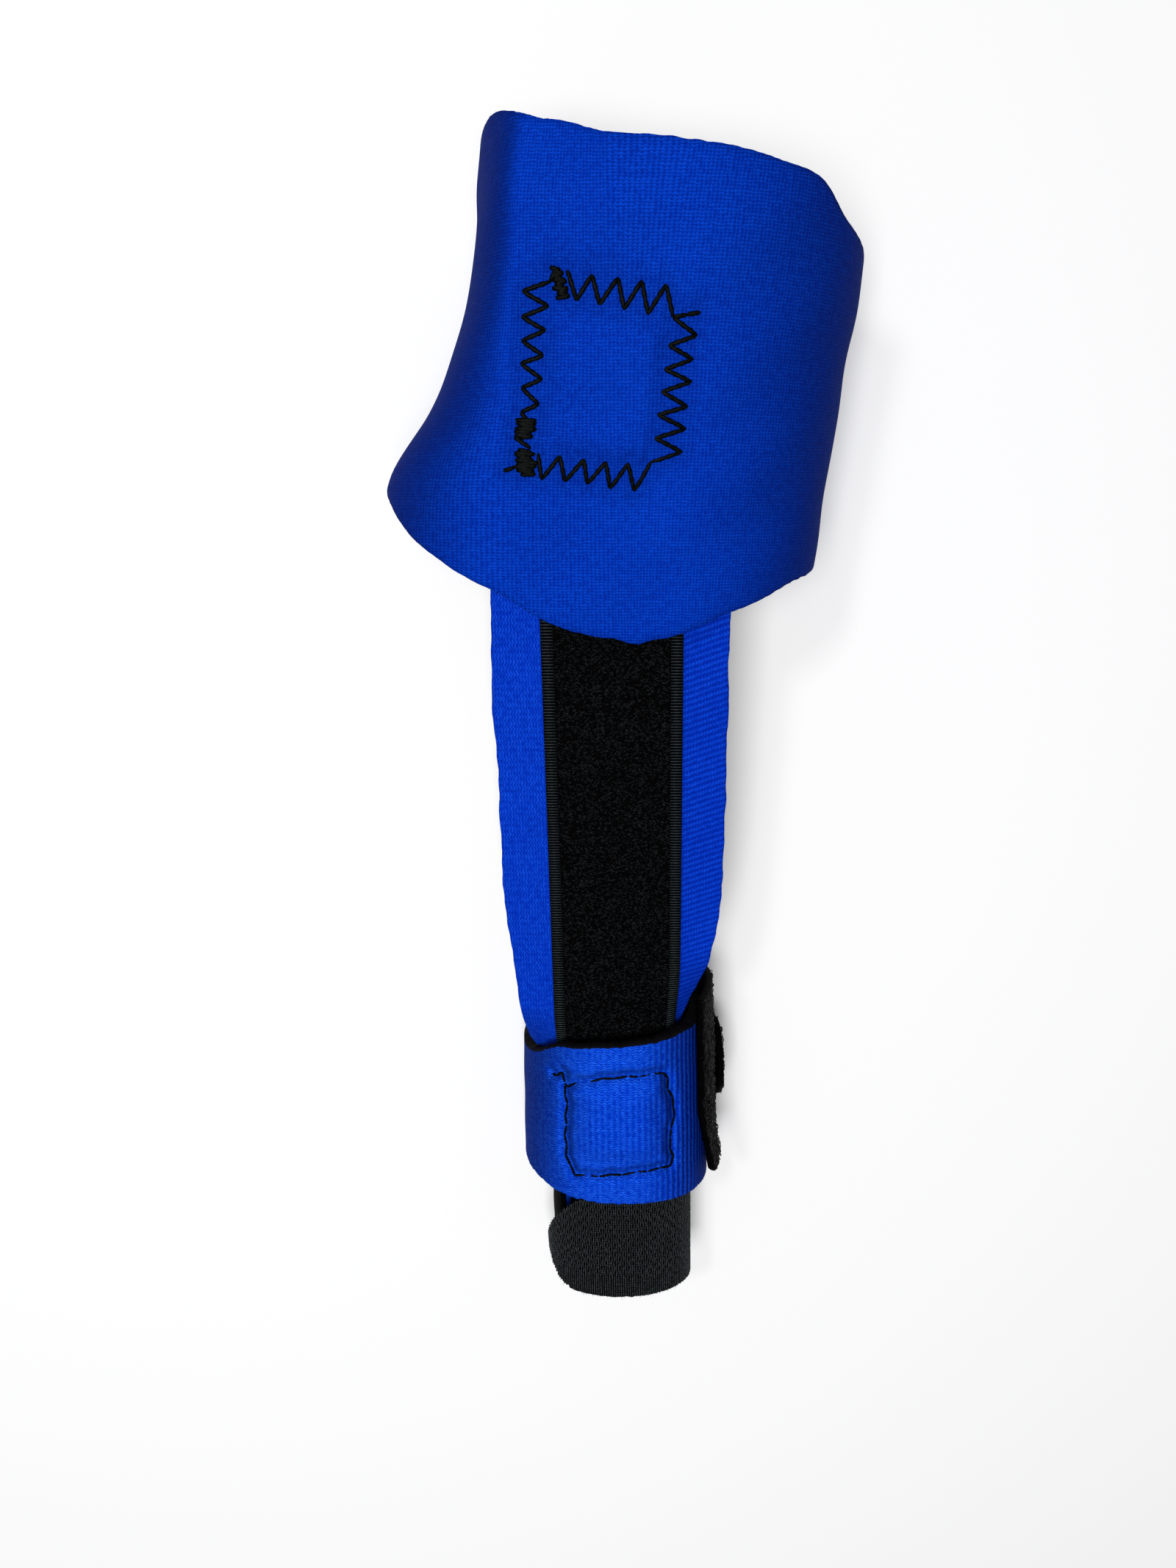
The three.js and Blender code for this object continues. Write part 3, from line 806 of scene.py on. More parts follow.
class BladeShape(Enum):
    """A small thing that is laid or strewn many times: its name, sides and rings."""

    THREAD = ("two_ply_stitch", 8, 17)
    RIB = ("raised_rib", 4, 3)
    CURL = ("fine_curl", 3, 4)
    COARSE_CURL = ("coarse_curl", 4, 9)
    FIBRE = ("loose_fibre", 3, 3)

    def centre(self, t: np.ndarray) -> Points:
        """The middle line, for t from 0 to 1. Its X is outward, and it is one unit long or high."""
        if self is BladeShape.THREAD:
            return np.stack([0.6 * (1 - np.abs(2 * t - 1) ** 3) - 0.4, 0 * t, 1.1 * (t - 0.5)], axis=1)
        if self is BladeShape.RIB:
            return np.stack([0 * t, 0 * t, 1.04 * (t - 0.5)], axis=1)
        if self is BladeShape.CURL:
            angle = math.pi * (1.1 * t - 0.05)
            x, y, z = 0.6 * np.cos(angle), 0.3 * np.sin(angle), 0.22 * np.sin(angle) - 0.04
            return np.stack([x, y, z], axis=1)
        if self is BladeShape.COARSE_CURL:
            angle = math.pi * (1.6 * t - 0.3)
            x, y, z = 0.5 * np.cos(angle), 0.5 * np.sin(angle), 0.2 * np.sin(math.pi * t) - 0.05
            return np.stack([x, y, z], axis=1)
        return np.stack([0.35 * t * t, 0.2 * t * (1 - t), t], axis=1)

    def radius(self, t: np.ndarray, angle: np.ndarray) -> np.ndarray:
        """The distance from the middle line, which two plies make lobed."""
        if self is BladeShape.THREAD:
            lobes = 0.36 + 0.14 * np.abs(np.cos(angle - 3.6 * math.pi * t))
            return lobes * (1 - 0.3 * np.abs(2 * t - 1) ** 5)
        if self is BladeShape.RIB:
            return 0.5 * np.minimum(1, 0.75 + 1.5 * np.minimum(t, 1 - t)) + 0 * angle
        if self is BladeShape.FIBRE:
            return 0.045 * (1 - 0.8 * t) + 0 * angle
        return (0.16 if self is BladeShape.CURL else 0.08) + 0 * angle + 0 * t

    def build(self) -> bpy.types.Object:
        """Makes the small mesh, a tube along the middle line."""
        name, sides, rings = self.value
        t = np.repeat(np.linspace(0, 1, rings), sides)
        angle = np.tile(np.arange(sides) * 2 * math.pi / sides, rings)
        ahead = self.centre(np.clip(t + 0.01, 0, 1)) - self.centre(np.clip(t - 0.01, 0, 1))
        ahead /= np.linalg.norm(ahead, axis=1, keepdims=True)
        if self in (BladeShape.THREAD, BladeShape.RIB):
            one, two = np.tile([1.0, 0, 0], (len(t), 1)), np.tile([0, 1.0, 0], (len(t), 1))
        else:
            one = np.cross(ahead, [0.1, 0.2, 1.0])
            one /= np.linalg.norm(one, axis=1, keepdims=True)
            two = np.cross(ahead, one)
        radius = self.radius(t, angle)[:, None]
        spoke = one * np.cos(angle)[:, None] + two * np.sin(angle)[:, None]
        points = self.centre(t) + radius * spoke
        faces = [[i * sides + j, i * sides + k, (i + 1) * sides + k, (i + 1) * sides + j]
                 for i in range(rings - 1) for j, k in zip(range(sides), [*range(1, sides), 0])]
        mesh = bpy.data.meshes.new(name)
        caps = [list(range(sides))[::-1], [(rings - 1) * sides + j for j in range(sides)]]
        mesh.from_pydata(points.tolist(), [], faces + caps)
        a, b, c, d = points[0], points[1], points[sides + 1], points[0] - self.centre(t[:1])[0]
        if np.dot(np.cross(b - a, c - b), d) < 0:
            mesh.flip_normals()
        mesh.update()
        return bpy.data.objects.new(name, mesh)


def new_geometry_tree(
        name: str, sockets: Sequence[tuple[str, str]]) -> tuple[bpy.types.NodeTree, bpy.types.Node]:
    """A Geometry Nodes tree with named inputs.

    Args:
        name: the tree's name.
        sockets: the name and kind of each input after the geometry.

    Returns:
        The tree and its input node.
    """
    tree = bpy.data.node_groups.new(name, "GeometryNodeTree")
    tree.interface.new_socket("Geometry", in_out="OUTPUT", socket_type="NodeSocketGeometry")
    tree.interface.new_socket("Geometry", in_out="INPUT", socket_type="NodeSocketGeometry")
    for label, kind in sockets:
        tree.interface.new_socket(label, in_out="INPUT", socket_type=kind)
    return tree, add(tree, "NodeGroupInput")


def close_geometry_tree(tree: bpy.types.NodeTree, start: bpy.types.Node,
                        instances: bpy.types.NodeSocket) -> None:
    """Ends a tree: the instances are made real, smooth and get the material."""
    real = add(tree, "GeometryNodeRealizeInstances", {0: instances})
    softly = add(tree, "GeometryNodeSetShadeSmooth", {0: real.outputs[0]})
    dressed = add(tree, "GeometryNodeSetMaterial", {"Geometry": softly.outputs[0],
                                                    "Material": start.outputs["Material"]})
    add(tree, "NodeGroupOutput", {0: dressed.outputs[0]})


def laid_tree() -> bpy.types.NodeTree:
    """Lays a thing along each edge of a mesh, stretched to its length, with its X outward."""
    tree, start = new_geometry_tree("laid_along_edges", (
        ("Thing", "NodeSocketObject"), ("Width", "NodeSocketFloat"), ("Height", "NodeSocketFloat"),
        ("Material", "NodeSocketMaterial")))
    ends = add(tree, "GeometryNodeInputMeshEdgeVertices")
    span = add(tree, "ShaderNodeVectorMath", {0: ends.outputs["Position 2"],
                                              1: ends.outputs["Position 1"]}, operation="SUBTRACT")
    kept = add(tree, "GeometryNodeStoreNamedAttribute", {"Geometry": start.outputs["Geometry"],
                                                         "Name": "span"},
               data_type="FLOAT_VECTOR", domain="EDGE")
    tree.links.new(span.outputs[0], next(s for s in kept.inputs if s.name == "Value" and s.enabled))
    middles = add(tree, "GeometryNodeMeshToPoints", {0: kept.outputs[0]}, mode="EDGES")
    along, out = (add(tree, "GeometryNodeInputNamedAttribute", {"Name": name}, data_type="FLOAT_VECTOR")
                  for name in ("span", "out"))
    aimed = add(tree, "FunctionNodeAlignRotationToVector", {"Vector": along.outputs[0]}, axis="Z")
    faced = add(tree, "FunctionNodeAlignRotationToVector", {"Rotation": aimed.outputs[0],
                                                            "Vector": out.outputs[0]},
                axis="X", pivot_axis="Z")
    length = add(tree, "ShaderNodeVectorMath", {0: along.outputs[0]}, operation="LENGTH")
    size = add(tree, "ShaderNodeCombineXYZ", {0: start.outputs["Height"], 1: start.outputs["Width"],
                                              2: length.outputs["Value"]})
    thing = add(tree, "GeometryNodeObjectInfo", {"Object": start.outputs["Thing"]})
    laid = add(tree, "GeometryNodeInstanceOnPoints", {
        "Points": middles.outputs[0], "Instance": thing.outputs["Geometry"], "Rotation": faced.outputs[0],
        "Scale": size.outputs[0]})
    close_geometry_tree(tree, start, laid.outputs[0])
    return tree


def strewn_tree() -> bpy.types.NodeTree:
    """Strews a thing over the points of a mesh, with its Z outward, turned and leaned by chance."""
    tree, start = new_geometry_tree("strewn_on_points", (
        ("Thing", "NodeSocketObject"), ("Smallest", "NodeSocketFloat"), ("Largest", "NodeSocketFloat"),
        ("Lean", "NodeSocketVector"), ("Seed", "NodeSocketInt"), ("Material", "NodeSocketMaterial")))
    spots = add(tree, "GeometryNodeMeshToPoints", {0: start.outputs["Geometry"]}, mode="VERTICES")
    out = add(tree, "GeometryNodeInputNamedAttribute", {"Name": "out"}, data_type="FLOAT_VECTOR")
    faced = add(tree, "FunctionNodeAlignRotationToVector", {"Vector": out.outputs[0]}, axis="Z")
    least = add(tree, "ShaderNodeVectorMath", {0: start.outputs["Lean"], 3: -1.0}, operation="SCALE")
    chance = add(tree, "FunctionNodeRandomValue", {0: least.outputs[0], 1: start.outputs["Lean"],
                                                   "Seed": start.outputs["Seed"]}, data_type="FLOAT_VECTOR")
    turned = add(tree, "FunctionNodeEulerToRotation", {0: chance.outputs[0]})
    placed = add(tree, "FunctionNodeRotateRotation", {0: faced.outputs[0], 1: turned.outputs[0]},
                 rotation_space="LOCAL")
    size = add(tree, "FunctionNodeRandomValue", {2: start.outputs["Smallest"], 3: start.outputs["Largest"],
                                                 "Seed": start.outputs["Seed"]}, data_type="FLOAT")
    thing = add(tree, "GeometryNodeObjectInfo", {"Object": start.outputs["Thing"]})
    strewn = add(tree, "GeometryNodeInstanceOnPoints", {
        "Points": spots.outputs[0], "Instance": thing.outputs["Geometry"], "Rotation": placed.outputs[0],
        "Scale": size.outputs[1]})
    close_geometry_tree(tree, start, strewn.outputs[0])
    return tree


def run_tree(piece: bpy.types.Object, tree: bpy.types.NodeTree, shape: BladeShape,
             values: dict[str, object]) -> None:
    """Runs a tree on a piece and keeps the result as its plain mesh.

    Args:
        piece: the object whose mesh the tree reads.
        tree: the tree.
        shape: the small thing that it repeats.
        values: the value of each other named input.
    """
    thing = shape.build()
    modifier = piece.modifiers.new(tree.name, "NODES")
    modifier.node_group = tree
    inputs = {s.name: s.identifier for s in tree.interface.items_tree if s.in_out == "INPUT"}
    for name, value in {"Thing": thing, **values}.items():
        modifier[inputs[name]] = value
    bpy.context.view_layer.update()
    evaluated = piece.evaluated_get(bpy.context.evaluated_depsgraph_get())
    mesh = bpy.data.meshes.new_from_object(evaluated)
    piece.modifiers.remove(modifier)
    old, piece.data = piece.data, mesh
    mesh.name = piece.name
    for name in ("span", "out"):
        if name in mesh.attributes:
            mesh.attributes.remove(mesh.attributes[name])
    bpy.data.meshes.remove(old)
    bpy.data.objects.remove(thing)


@dataclass
class Dresser:
    """Lays threads, ribs and fibres on the pieces, and reports each finished piece."""

    laid: bpy.types.NodeTree = field(default_factory=laid_tree)
    strewn: bpy.types.NodeTree = field(default_factory=strewn_tree)

    def threads(self, name: str, lines: Sequence[Points], outs: Sequence[Points], shape: BladeShape,
                width: float, height: float, finish: DyedYarn) -> bpy.types.Object:
        """Lays a thing along each stretch of some lines.

        Args:
            name: the new piece's name.
            lines: points of each line, in millimetres.
            outs: the way out of the cloth at each point.
            shape: what is laid.
            width: its width.
            height: its height.
            finish: its finish.

        Returns:
            The piece.
        """
        starts = np.cumsum([0] + [len(line) for line in lines])
        edges = [(a + i, a + i + 1) for a, line in zip(starts, lines) for i in range(len(line) - 1)]
        piece = plain_object(name, np.concatenate(lines), edges, [], out=np.concatenate(outs))
        run_tree(piece, self.laid, shape, {"Width": width * MM, "Height": height * MM,
                                           "Material": material_of(finish)})
        return piece

    def strew(self, name: str, points: Points, outs: Points, shape: BladeShape, sizes: tuple[float, float],
              lean: tuple[float, float, float], finish: DyedYarn, seed: int) -> bpy.types.Object:
        """Strews a thing over points.

        Args:
            name: the new piece's name.
            points: where, in millimetres.
            outs: the way out of the cloth at each point.
            shape: what is strewn.
            sizes: its smallest and largest size.
            lean: the most that it leans about X and Y and turns about Z, in degrees.
            finish: its finish.
            seed: for the chance.

        Returns:
            The piece.
        """
        piece = plain_object(name, points, [], [], out=outs)
        run_tree(piece, self.strewn, shape, {
            "Smallest": sizes[0] * MM, "Largest": sizes[1] * MM, "Lean": [math.radians(a) for a in lean],
            "Seed": seed, "Material": material_of(finish)})
        return piece

    def finish(self, piece: bpy.types.Object, slot: str, *nodes: str) -> None:
        """Ties a piece to the frame: it rides on the one body and may stand for CAD nodes."""
        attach(piece, "root")
        if nodes:
            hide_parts(*nodes)
        LOG.info("%s: %d faces", piece.name, len(piece.data.polygons))

    def edge_fuzz(self, name: str, cloth: Cloth, finish: DyedYarn, per_mm: float,
                  sizes: tuple[float, float], seed: int) -> bpy.types.Object:
        """Short cut fibres that stand out round the outer edge of a cloth.

        Args:
            name: the new piece's name.
            cloth: the cloth.
            finish: the fibres' finish.
            per_mm: fibres on each millimetre of the edge.
            sizes: the shortest and longest fibre.
            seed: for the chance.

        Returns:
            The piece.
        """
        rng = np.random.default_rng(seed)
        rim = cloth.rim_index()
        long = cloth.outer.shape[1]
        outer = cloth.outer.reshape(-1, 3)
        loop = outer[np.append(rim, rim[0])]
        lengths = np.linalg.norm(np.diff(loop, axis=0), axis=1)
        spots = np.sort(rng.uniform(0, lengths.sum(), int(lengths.sum() * per_mm)))
        k = np.clip(np.searchsorted(np.cumsum(lengths), spots), 0, len(lengths) - 1)
        share = rng.uniform(0, 1, len(k))[:, None]
        points = loop[k] * (1 - share) + loop[k + 1] * share
        inside = cloth.outer[np.clip(rim[k] // long, 2, cloth.outer.shape[0] - 3),
                             np.clip(rim[k] % long, 2, long - 3)]
        away = outer[rim[k]] - inside
        away /= np.maximum(np.linalg.norm(away, axis=1, keepdims=True), 1e-9)
        normal = grid_normals(cloth.outer).reshape(-1, 3)[rim[k]]
        roots = points - 0.15 * away - 0.12 * normal
        return self.strew(name, roots, away + 0.35 * normal, BladeShape.FIBRE, sizes, (38, 38, 180),
                          finish, seed)

    def pile(self, name: str, cloth: Cloth, keep: Callable[[Points, Points], np.ndarray], count: int,
             shape: BladeShape, sizes: tuple[float, float], turn: float, seed: int) -> bpy.types.Object:
        """Loops of fibre that lie on the outer face of a tape.

        Args:
            name: the new piece's name.
            cloth: the tape.
            keep: says from the places and their flat places which ones have pile.
            count: how many places are tried.
            shape: the loop.
            sizes: the smallest and largest loop.
            turn: the most that a loop turns away from lying across, in degrees.
            seed: for the chance.

        Returns:
            The piece.
        """
        rng = np.random.default_rng(seed)
        wide, long = cloth.outer.shape[:2]
        at = rng.uniform(0, 1, (count, 2)) * [wide - 1.001, long - 1.001]
        i, j = at.astype(int).T
        a, b = (at - np.floor(at)).T[:, :, None]

        def blend(grid: np.ndarray) -> np.ndarray:
            """The grid's values between its points."""
            near = grid[i, j] * (1 - b) + grid[i, j + 1] * b
            return near * (1 - a) + (grid[i + 1, j] * (1 - b) + grid[i + 1, j + 1] * b) * a

        points, normals, flat = blend(cloth.outer), blend(grid_normals(cloth.outer)), blend(cloth.flat)
        chosen = keep(points, flat)
        finish = FINISHES.coarse_curl if shape is BladeShape.COARSE_CURL else FINISHES.curl
        return self.strew(name, (points - 0.05 * normals)[chosen], normals[chosen], shape, sizes,
                          (28, 28, turn), finish, seed)


def stitched(surface: BVHTree, pixels: Pixels) -> Points:
    """The points of a surface that the camera sees at some pixels."""
    hits = []
    for pixel in pixels:
        place, direction = VIEW.ray(pixel)
        hits.append(np.array(surface.ray_cast(place, direction)[0]))
    return np.array(hits)


def surface_tree(grid: Points) -> BVHTree:
    """A tree for finding points on a grid's surface."""
    return BVHTree.FromPolygons(grid.reshape(-1, 3).tolist(), grid_quads(*grid.shape[:2]).tolist())


def outward(surface: BVHTree, points: Points) -> Points:
    """The way out of a surface at points near it, towards the camera."""
    found = np.array([np.array(surface.find_nearest(p)[1]) for p in points])
    facing = np.einsum("ij,ij->i", found, np.array(VIEW.place) - points)
    return found * np.sign(facing)[:, None]


@dataclass(frozen=True)
class ZigzagRow:
    """A row of zigzag stitches, from the photograph's pixels of its first and last holes."""

    outer: tuple[tuple[float, float], tuple[float, float]]
    inner: tuple[tuple[float, float], tuple[float, float]]
    teeth: int
    outer_first: bool = True

    def pixels(self, rng: np.random.Generator) -> Pixels:
        """The needle holes in order, each a little off as hand-guided stitches are."""
        rows = [np.linspace(*ends, self.teeth) for ends in (self.outer, self.inner)]
        if not self.outer_first:
            rows.reverse()
        holes = np.stack(rows, axis=1).reshape(-1, 2)
        return [tuple(p) for p in holes + rng.uniform(-1.2, 1.2, holes.shape)]


@dataclass
class WristWrap:
    """The blue wrap round the wrist, its zigzag box of thread and the hidden hook pieces."""

    length: float = 77.0
    width: float = 80.0
    mid: float = 25.0
    foot: float = 21.0
    lap_start: float = 26.0
    lap_end: float = -6.0
    swell: float = 0.6  # of the cloth inside the stitched box
    tack_stitches: int = 19
    sections: Table = Table("along", ("left", "right", "crest_left", "crest_right", "sink"), (
        (-0.55, -0.478, 0.510, -0.175, 0.140, 0),
        (-0.34, -0.478, 0.525, -0.175, 0.142, 0),
        (-0.14, -0.450, 0.545, -0.169, 0.145, 0),
        (0.00, -0.357, 0.562, -0.156, 0.150, 0),
        (0.13, -0.298, 0.576, -0.144, 0.153, 0),
        (0.26, -0.258, 0.596, -0.138, 0.163, 0),
        (0.39, -0.238, 0.604, -0.131, 0.175, 0),
        (0.48, -0.236, 0.607, -0.119, 0.188, 0.015),
        (0.60, -0.222, 0.612, -0.100, 0.200, 0.04),
    ))
    hems: Table = Table("turn", ("top", "tip"), (
        (-4.0, 0.286, -0.286), (-3.0, 0.310, -0.270), (-2.5, 0.410, -0.205), (-2.0, 0.510, -0.140),
        (-1.7, 0.545, -0.200), (-1.4, 0.555, -0.292), (-1.0, 0.530, -0.392), (-0.5, 0.518, -0.460),
        (0.0, 0.503, -0.488), (1.0, 0.488, -0.490), (1.3, 0.460, -0.430), (1.45, 0.438, -0.402),
        (1.6, 0.378, -0.374), (1.95, 0.314, -0.342), (2.5, 0.305, -0.305), (3.0, 0.286, -0.286),
        (4.0, 0.286, -0.286),
    ), corners=(-2.0, 1.95))
    box: tuple[ZigzagRow, ...] = (
        ZigzagRow(((773, 368), (906, 387)), ((784, 410), (915, 432)), 5),
        ZigzagRow(((947, 457), (929, 616)), ((910, 470), (886, 629)), 6),
        ZigzagRow(((862, 668), (738, 652)), ((855, 632), (732, 618)), 5),
        ZigzagRow(((708, 562), (711, 397)), ((734, 550), (748, 384)), 6),
    )
    # Bar tacks: dense short stitches between two pixels, with their half width
    tacks: tuple[tuple[tuple[float, float], tuple[float, float], float], ...] = (
        ((757, 364), (766, 405), 9), ((716, 570), (714, 596), 13), ((713, 612), (717, 648), 14),
    )
    tails: tuple[Pixels, ...] = (((915, 432), (935, 428), (953, 425)), ((700, 595), (722, 610)),
                                 ((700, 636), (685, 641)))

    def surface(self, turn: np.ndarray, y: np.ndarray, lift: np.ndarray | float) -> Points:
        """Points of the wrap: lift is 0 on its outer face."""
        left, right, crest_left, crest_right, sink = (
            self.sections.at(column, y / self.length) * self.width for column in self.sections.columns)
        girth = Girth(axis_x(y), back_height(y) + COVER_LIFT + WALL - sink, self.mid, 2.0,
                      HalfGirth(left, crest_left, left + self.foot, LAP_LIFT, self.lap_start),
                      HalfGirth(right, crest_right, right - self.foot, 0.0, self.lap_end))
        x, z = girth.point(turn, lift)
        return np.stack([x, y, z], axis=-1)

    def holes(self, surface: BVHTree) -> list[Points]:
        """The needle holes of the zigzag box, its tacks and its tails."""
        rng = np.random.default_rng(11)
        top, right, bottom, left = (row.pixels(rng) for row in self.box)
        lines = [stitched(surface, [*top, *right, *bottom]),
                 stitched(surface, [self.tacks[1][0], *left, self.tacks[0][0]])]
        for start, end, half in self.tacks:
            count = self.tack_stitches
            across = np.linspace(start, end, count) + rng.uniform(-2, 2, (count, 2))
            across[:, 0] += half * rng.uniform(0.6, 1.2, count) * np.where(np.arange(count) % 2, 1, -1)
            lines.append(stitched(surface, [tuple(p) for p in across]))
        return lines + [stitched(surface, tail) for tail in self.tails]

    def puff(self, points: Points, holes: Sequence[Points]) -> np.ndarray:
        """The cloth's low swell inside the stitched box."""
        corners = np.concatenate(holes[:2])
        low, high = corners.min(axis=0) + 2.5, corners.max(axis=0) - 2.5
        x, y = points[:, 0], points[:, 1]
        rise = plateau(x, low[0], high[0], 6) * plateau(y, low[1], high[1], 6)
        return self.swell * rise * (points[:, 2] > self.mid)

    def build(self, dresser: Dresser) -> None:
        """Makes the wrap and what is on it."""
        turns, arc = even_turns(self.surface, [(q, q + 1) for q in range(-4, 4)], 0.0, 0.42)
        shares = np.linspace(0, 1, 50)
        top, tip = (self.hems.at(side, turns) * self.length for side in ("top", "tip"))
        top, tip = top + rough(len(turns), 0.03, 51), tip + rough(len(turns), 0.04, 52)
        y = top[:, None] * (1 - shares) + tip[:, None] * shares
        turn = np.repeat(turns, len(shares))
        base = self.surface(turn, y.ravel(), 0.0)
        grid = base.reshape(len(turns), len(shares), 3)
        flat = np.stack([np.repeat(arc, len(shares)), y.ravel()], axis=-1).reshape(*y.shape, 2)
        tree = surface_tree(grid)
        holes = self.holes(tree)
        across = flat[:, :, 0].ravel()
        seam = Seam(holes, pull=0.6, reach=1.7)
        relief = Grain(rib_height=0.012, sway=0.2).relief(base, across)
        relief = relief + self.puff(base, holes) - seam.dent(base)
        # The face that the splint rests on stays flat
        relief *= smooth(base[:, 2], 0.5, 6.0)
        normals = grid_normals(grid)
        outer = grid + normals * relief.reshape(*y.shape, 1)
        inner = self.surface(turn, y.ravel(), -WALL).reshape(grid.shape)
        # Painted shade: the knit's colour darkens within a few millimetres of the thread, besides the real
        # dent
        cloth = Cloth("wrist_wrap_cloth", outer, inner, flat, FINISHES.wrap, FINISHES.foam,
                      seam_painted_shade=Seam(holes, pull=1.0, reach=2.4).dent(base))
        piece = cloth.build()
        dresser.finish(piece, "wrap_neoprene", "wrist_wrap")
        sewn = surface_tree(outer)
        holes = self.holes(sewn)
        thread = dresser.threads("wrist_zigzag_thread", holes, [outward(sewn, line) for line in holes],
                                 BladeShape.THREAD, 0.8, 0.58, FINISHES.thread)
        dresser.finish(thread, "thread")
        fuzz = dresser.edge_fuzz("wrist_wrap_edge_fibres", cloth, FINISHES.blue_fuzz, 3.0,
                                 (0.15, 0.4), 21)
        dresser.finish(fuzz, "wrap_neoprene")
        for node in ("palm_hook_tab", "wrist_hook_patch", "finger_hook_patch"):
            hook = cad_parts[node]
            hook.data.materials.clear()
            hook.data.materials.append(material_of(FINISHES.hook))
            LOG.info("%s: plain woven hook piece, between two layers", node)


def strip_bend(across: np.ndarray, y: np.ndarray, radius: float = 22.0) -> np.ndarray:
    """One over the radius at which the back's layers curl: sooner on the little-finger side."""
    thumb = across < 0
    return smooth(-y, np.where(thumb, 113.0, 101.0), np.where(thumb, 132.0, 122.0)) / radius


def back_point(across: np.ndarray, y: np.ndarray, lift: np.ndarray | float) -> Points:
    """Points of the layers on the back of the hand.

    Args:
        across: distance along the cloth from the line.
        y: place along the hand.
        lift: distance from the top of the loop tape.

    Returns:
        The points.
    """
    bend = np.maximum(strip_bend(across, y), 1e-6)
    x = axis_x(y) + (1 / bend + lift) * np.sin(across * bend)
    z = back_height(y) + lift - (1 / bend + lift) * (1 - np.cos(across * bend))
    return np.stack([x, y, z], axis=-1)


@dataclass
class HandStrip:
    """The blue strip down the back of the hand and the loop tape on it."""

    width: float = 42.0
    top_end: float = 26.0
    tip_end: float = -151.0
    tape_width: float = 25.0
    tape_inset: float = 3.0
    selvedge: float = 2.1
    rib_pitch: float = 0.55
    rib_lean: float = 0.36
    pile_ends: tuple[float, float] = (-126.0, -33.0)  # between which the tape is seen
    edges: Table = Table("along", ("left", "right"), (
        (0.00, -0.22, 0.24), (0.03, -0.31, 0.34), (0.10, -0.36, 0.42), (0.30, -0.49, 0.50),
        (0.38, -0.51, 0.495), (0.60, -0.505, 0.49), (0.67, -0.500, 0.475), (0.72, -0.478, 0.445),
        (0.76, -0.462, 0.40), (0.82, -0.450, 0.36), (0.853, -0.444, 0.34), (0.88, -0.365, 0.325),
        (0.92, -0.320, 0.31), (1.00, -0.290, 0.29),
    ))

    def strip(self, dresser: Dresser) -> None:
        """Makes the blue strip."""
        y = np.linspace(self.top_end, self.tip_end, 150)
        shares = np.linspace(0, 1, 97)
        along = (self.top_end - y) / (self.top_end - self.tip_end)
        left, right = (self.edges.at(side, along) * self.width + rough(len(y), 0.08, seed)
                       for side, seed in (("left", 81), ("right", 82)))
        across = left * (1 - shares[:, None]) + right * shares[:, None]
        places = np.broadcast_to(y, across.shape)
        base = back_point(across.ravel(), places.ravel(), STRIP_LIFT)
        grid = base.reshape(*across.shape, 3)
        # The strip is cut across the knit, whose ribs show and lean on the little-finger side
        half = self.tape_width / 2
        flat = np.stack([places - self.rib_lean * np.maximum(across - half, 0), across], axis=-1)
        bare = smooth(np.abs(across.ravel()), half, half + 2)
        relief = Grain(rib_height=0.0, sway=0.14, seed=9).relief(base, across.ravel()) * bare
        outer = grid + grid_normals(grid) * relief.reshape(*across.shape, 1)
        inner = back_point(across.ravel(), places.ravel(), STRIP_LIFT - WALL).reshape(grid.shape)
        cloth = Cloth("hand_strip_cloth", outer, inner, flat, FINISHES.strip, FINISHES.foam,
                      ribbed=0.75 * smooth(across, half, half + 0.5))
        piece = cloth.build()
        dresser.finish(piece, "strip_neoprene", "hand_strip")
        fuzz = dresser.edge_fuzz("hand_strip_edge_fibres", cloth, FINISHES.blue_fuzz, 4.0,
                                 (0.15, 0.45), 22)
        dresser.finish(fuzz, "strip_neoprene")

    def tape(self, dresser: Dresser) -> None:
        """Makes the loop tape, its ribbed selvedges and its pile."""
        top, tip = self.top_end - self.tape_inset, self.tip_end + self.tape_inset
        half = self.tape_width / 2
        y = np.linspace(top, tip, 120)
        steps = np.linspace(-half, half, 41)
        across, places = np.meshgrid(steps, y, indexing="ij")
        base = back_point(across.ravel(), places.ravel(), 0.0)
        grid = base.reshape(*across.shape, 3)
        inner = back_point(across.ravel(), places.ravel(), -TAPE).reshape(grid.shape)
        # The pile swells between the selvedges, which lie lower
        body = smooth(half - np.abs(across), self.selvedge - 0.4, self.selvedge + 0.5)
        grid = grid + grid_normals(grid) * ((body - 1) * 0.3)[:, :, None]
        cloth = Cloth("hand_loop_tape_ground", grid, inner, np.stack([across, places], axis=-1),
                      FINISHES.pile, FINISHES.pile, bulge=0.1)
        piece = cloth.build()
        dresser.finish(piece, "loop_tape", "hand_loop_tape")
        ribs = []
        for side in (Side.THUMB, Side.LITTLE):
            inset = side.value * (half - 0.05), side.value * (half - self.selvedge)
            for place in np.arange(tip + self.rib_pitch, top, self.rib_pitch):
                ribs.append(back_point(np.array(inset), np.full(2, place), -0.22))
        ups = [np.tile([0.0, 0.0, 1.0], (2, 1))] * len(ribs)
        selvedges = dresser.threads("hand_loop_tape_selvedges", ribs, ups, BladeShape.RIB, 0.27, 0.3,
                                    FINISHES.rib)
        dresser.finish(selvedges, "loop_tape")

        def seen(_: Points, flat: Points) -> np.ndarray:
            """Whether a place has pile that can be seen."""
            low, high = self.pile_ends
            between_ribs = np.abs(flat[:, 0]) < half - self.selvedge - 0.2
            return between_ribs & (flat[:, 1] > low) & (flat[:, 1] < high)

        pile = dresser.pile("hand_loop_tape_pile", cloth, seen, 19500, BladeShape.CURL, (0.42, 0.8), 60, 31)
        dresser.finish(pile, "loop_tape")

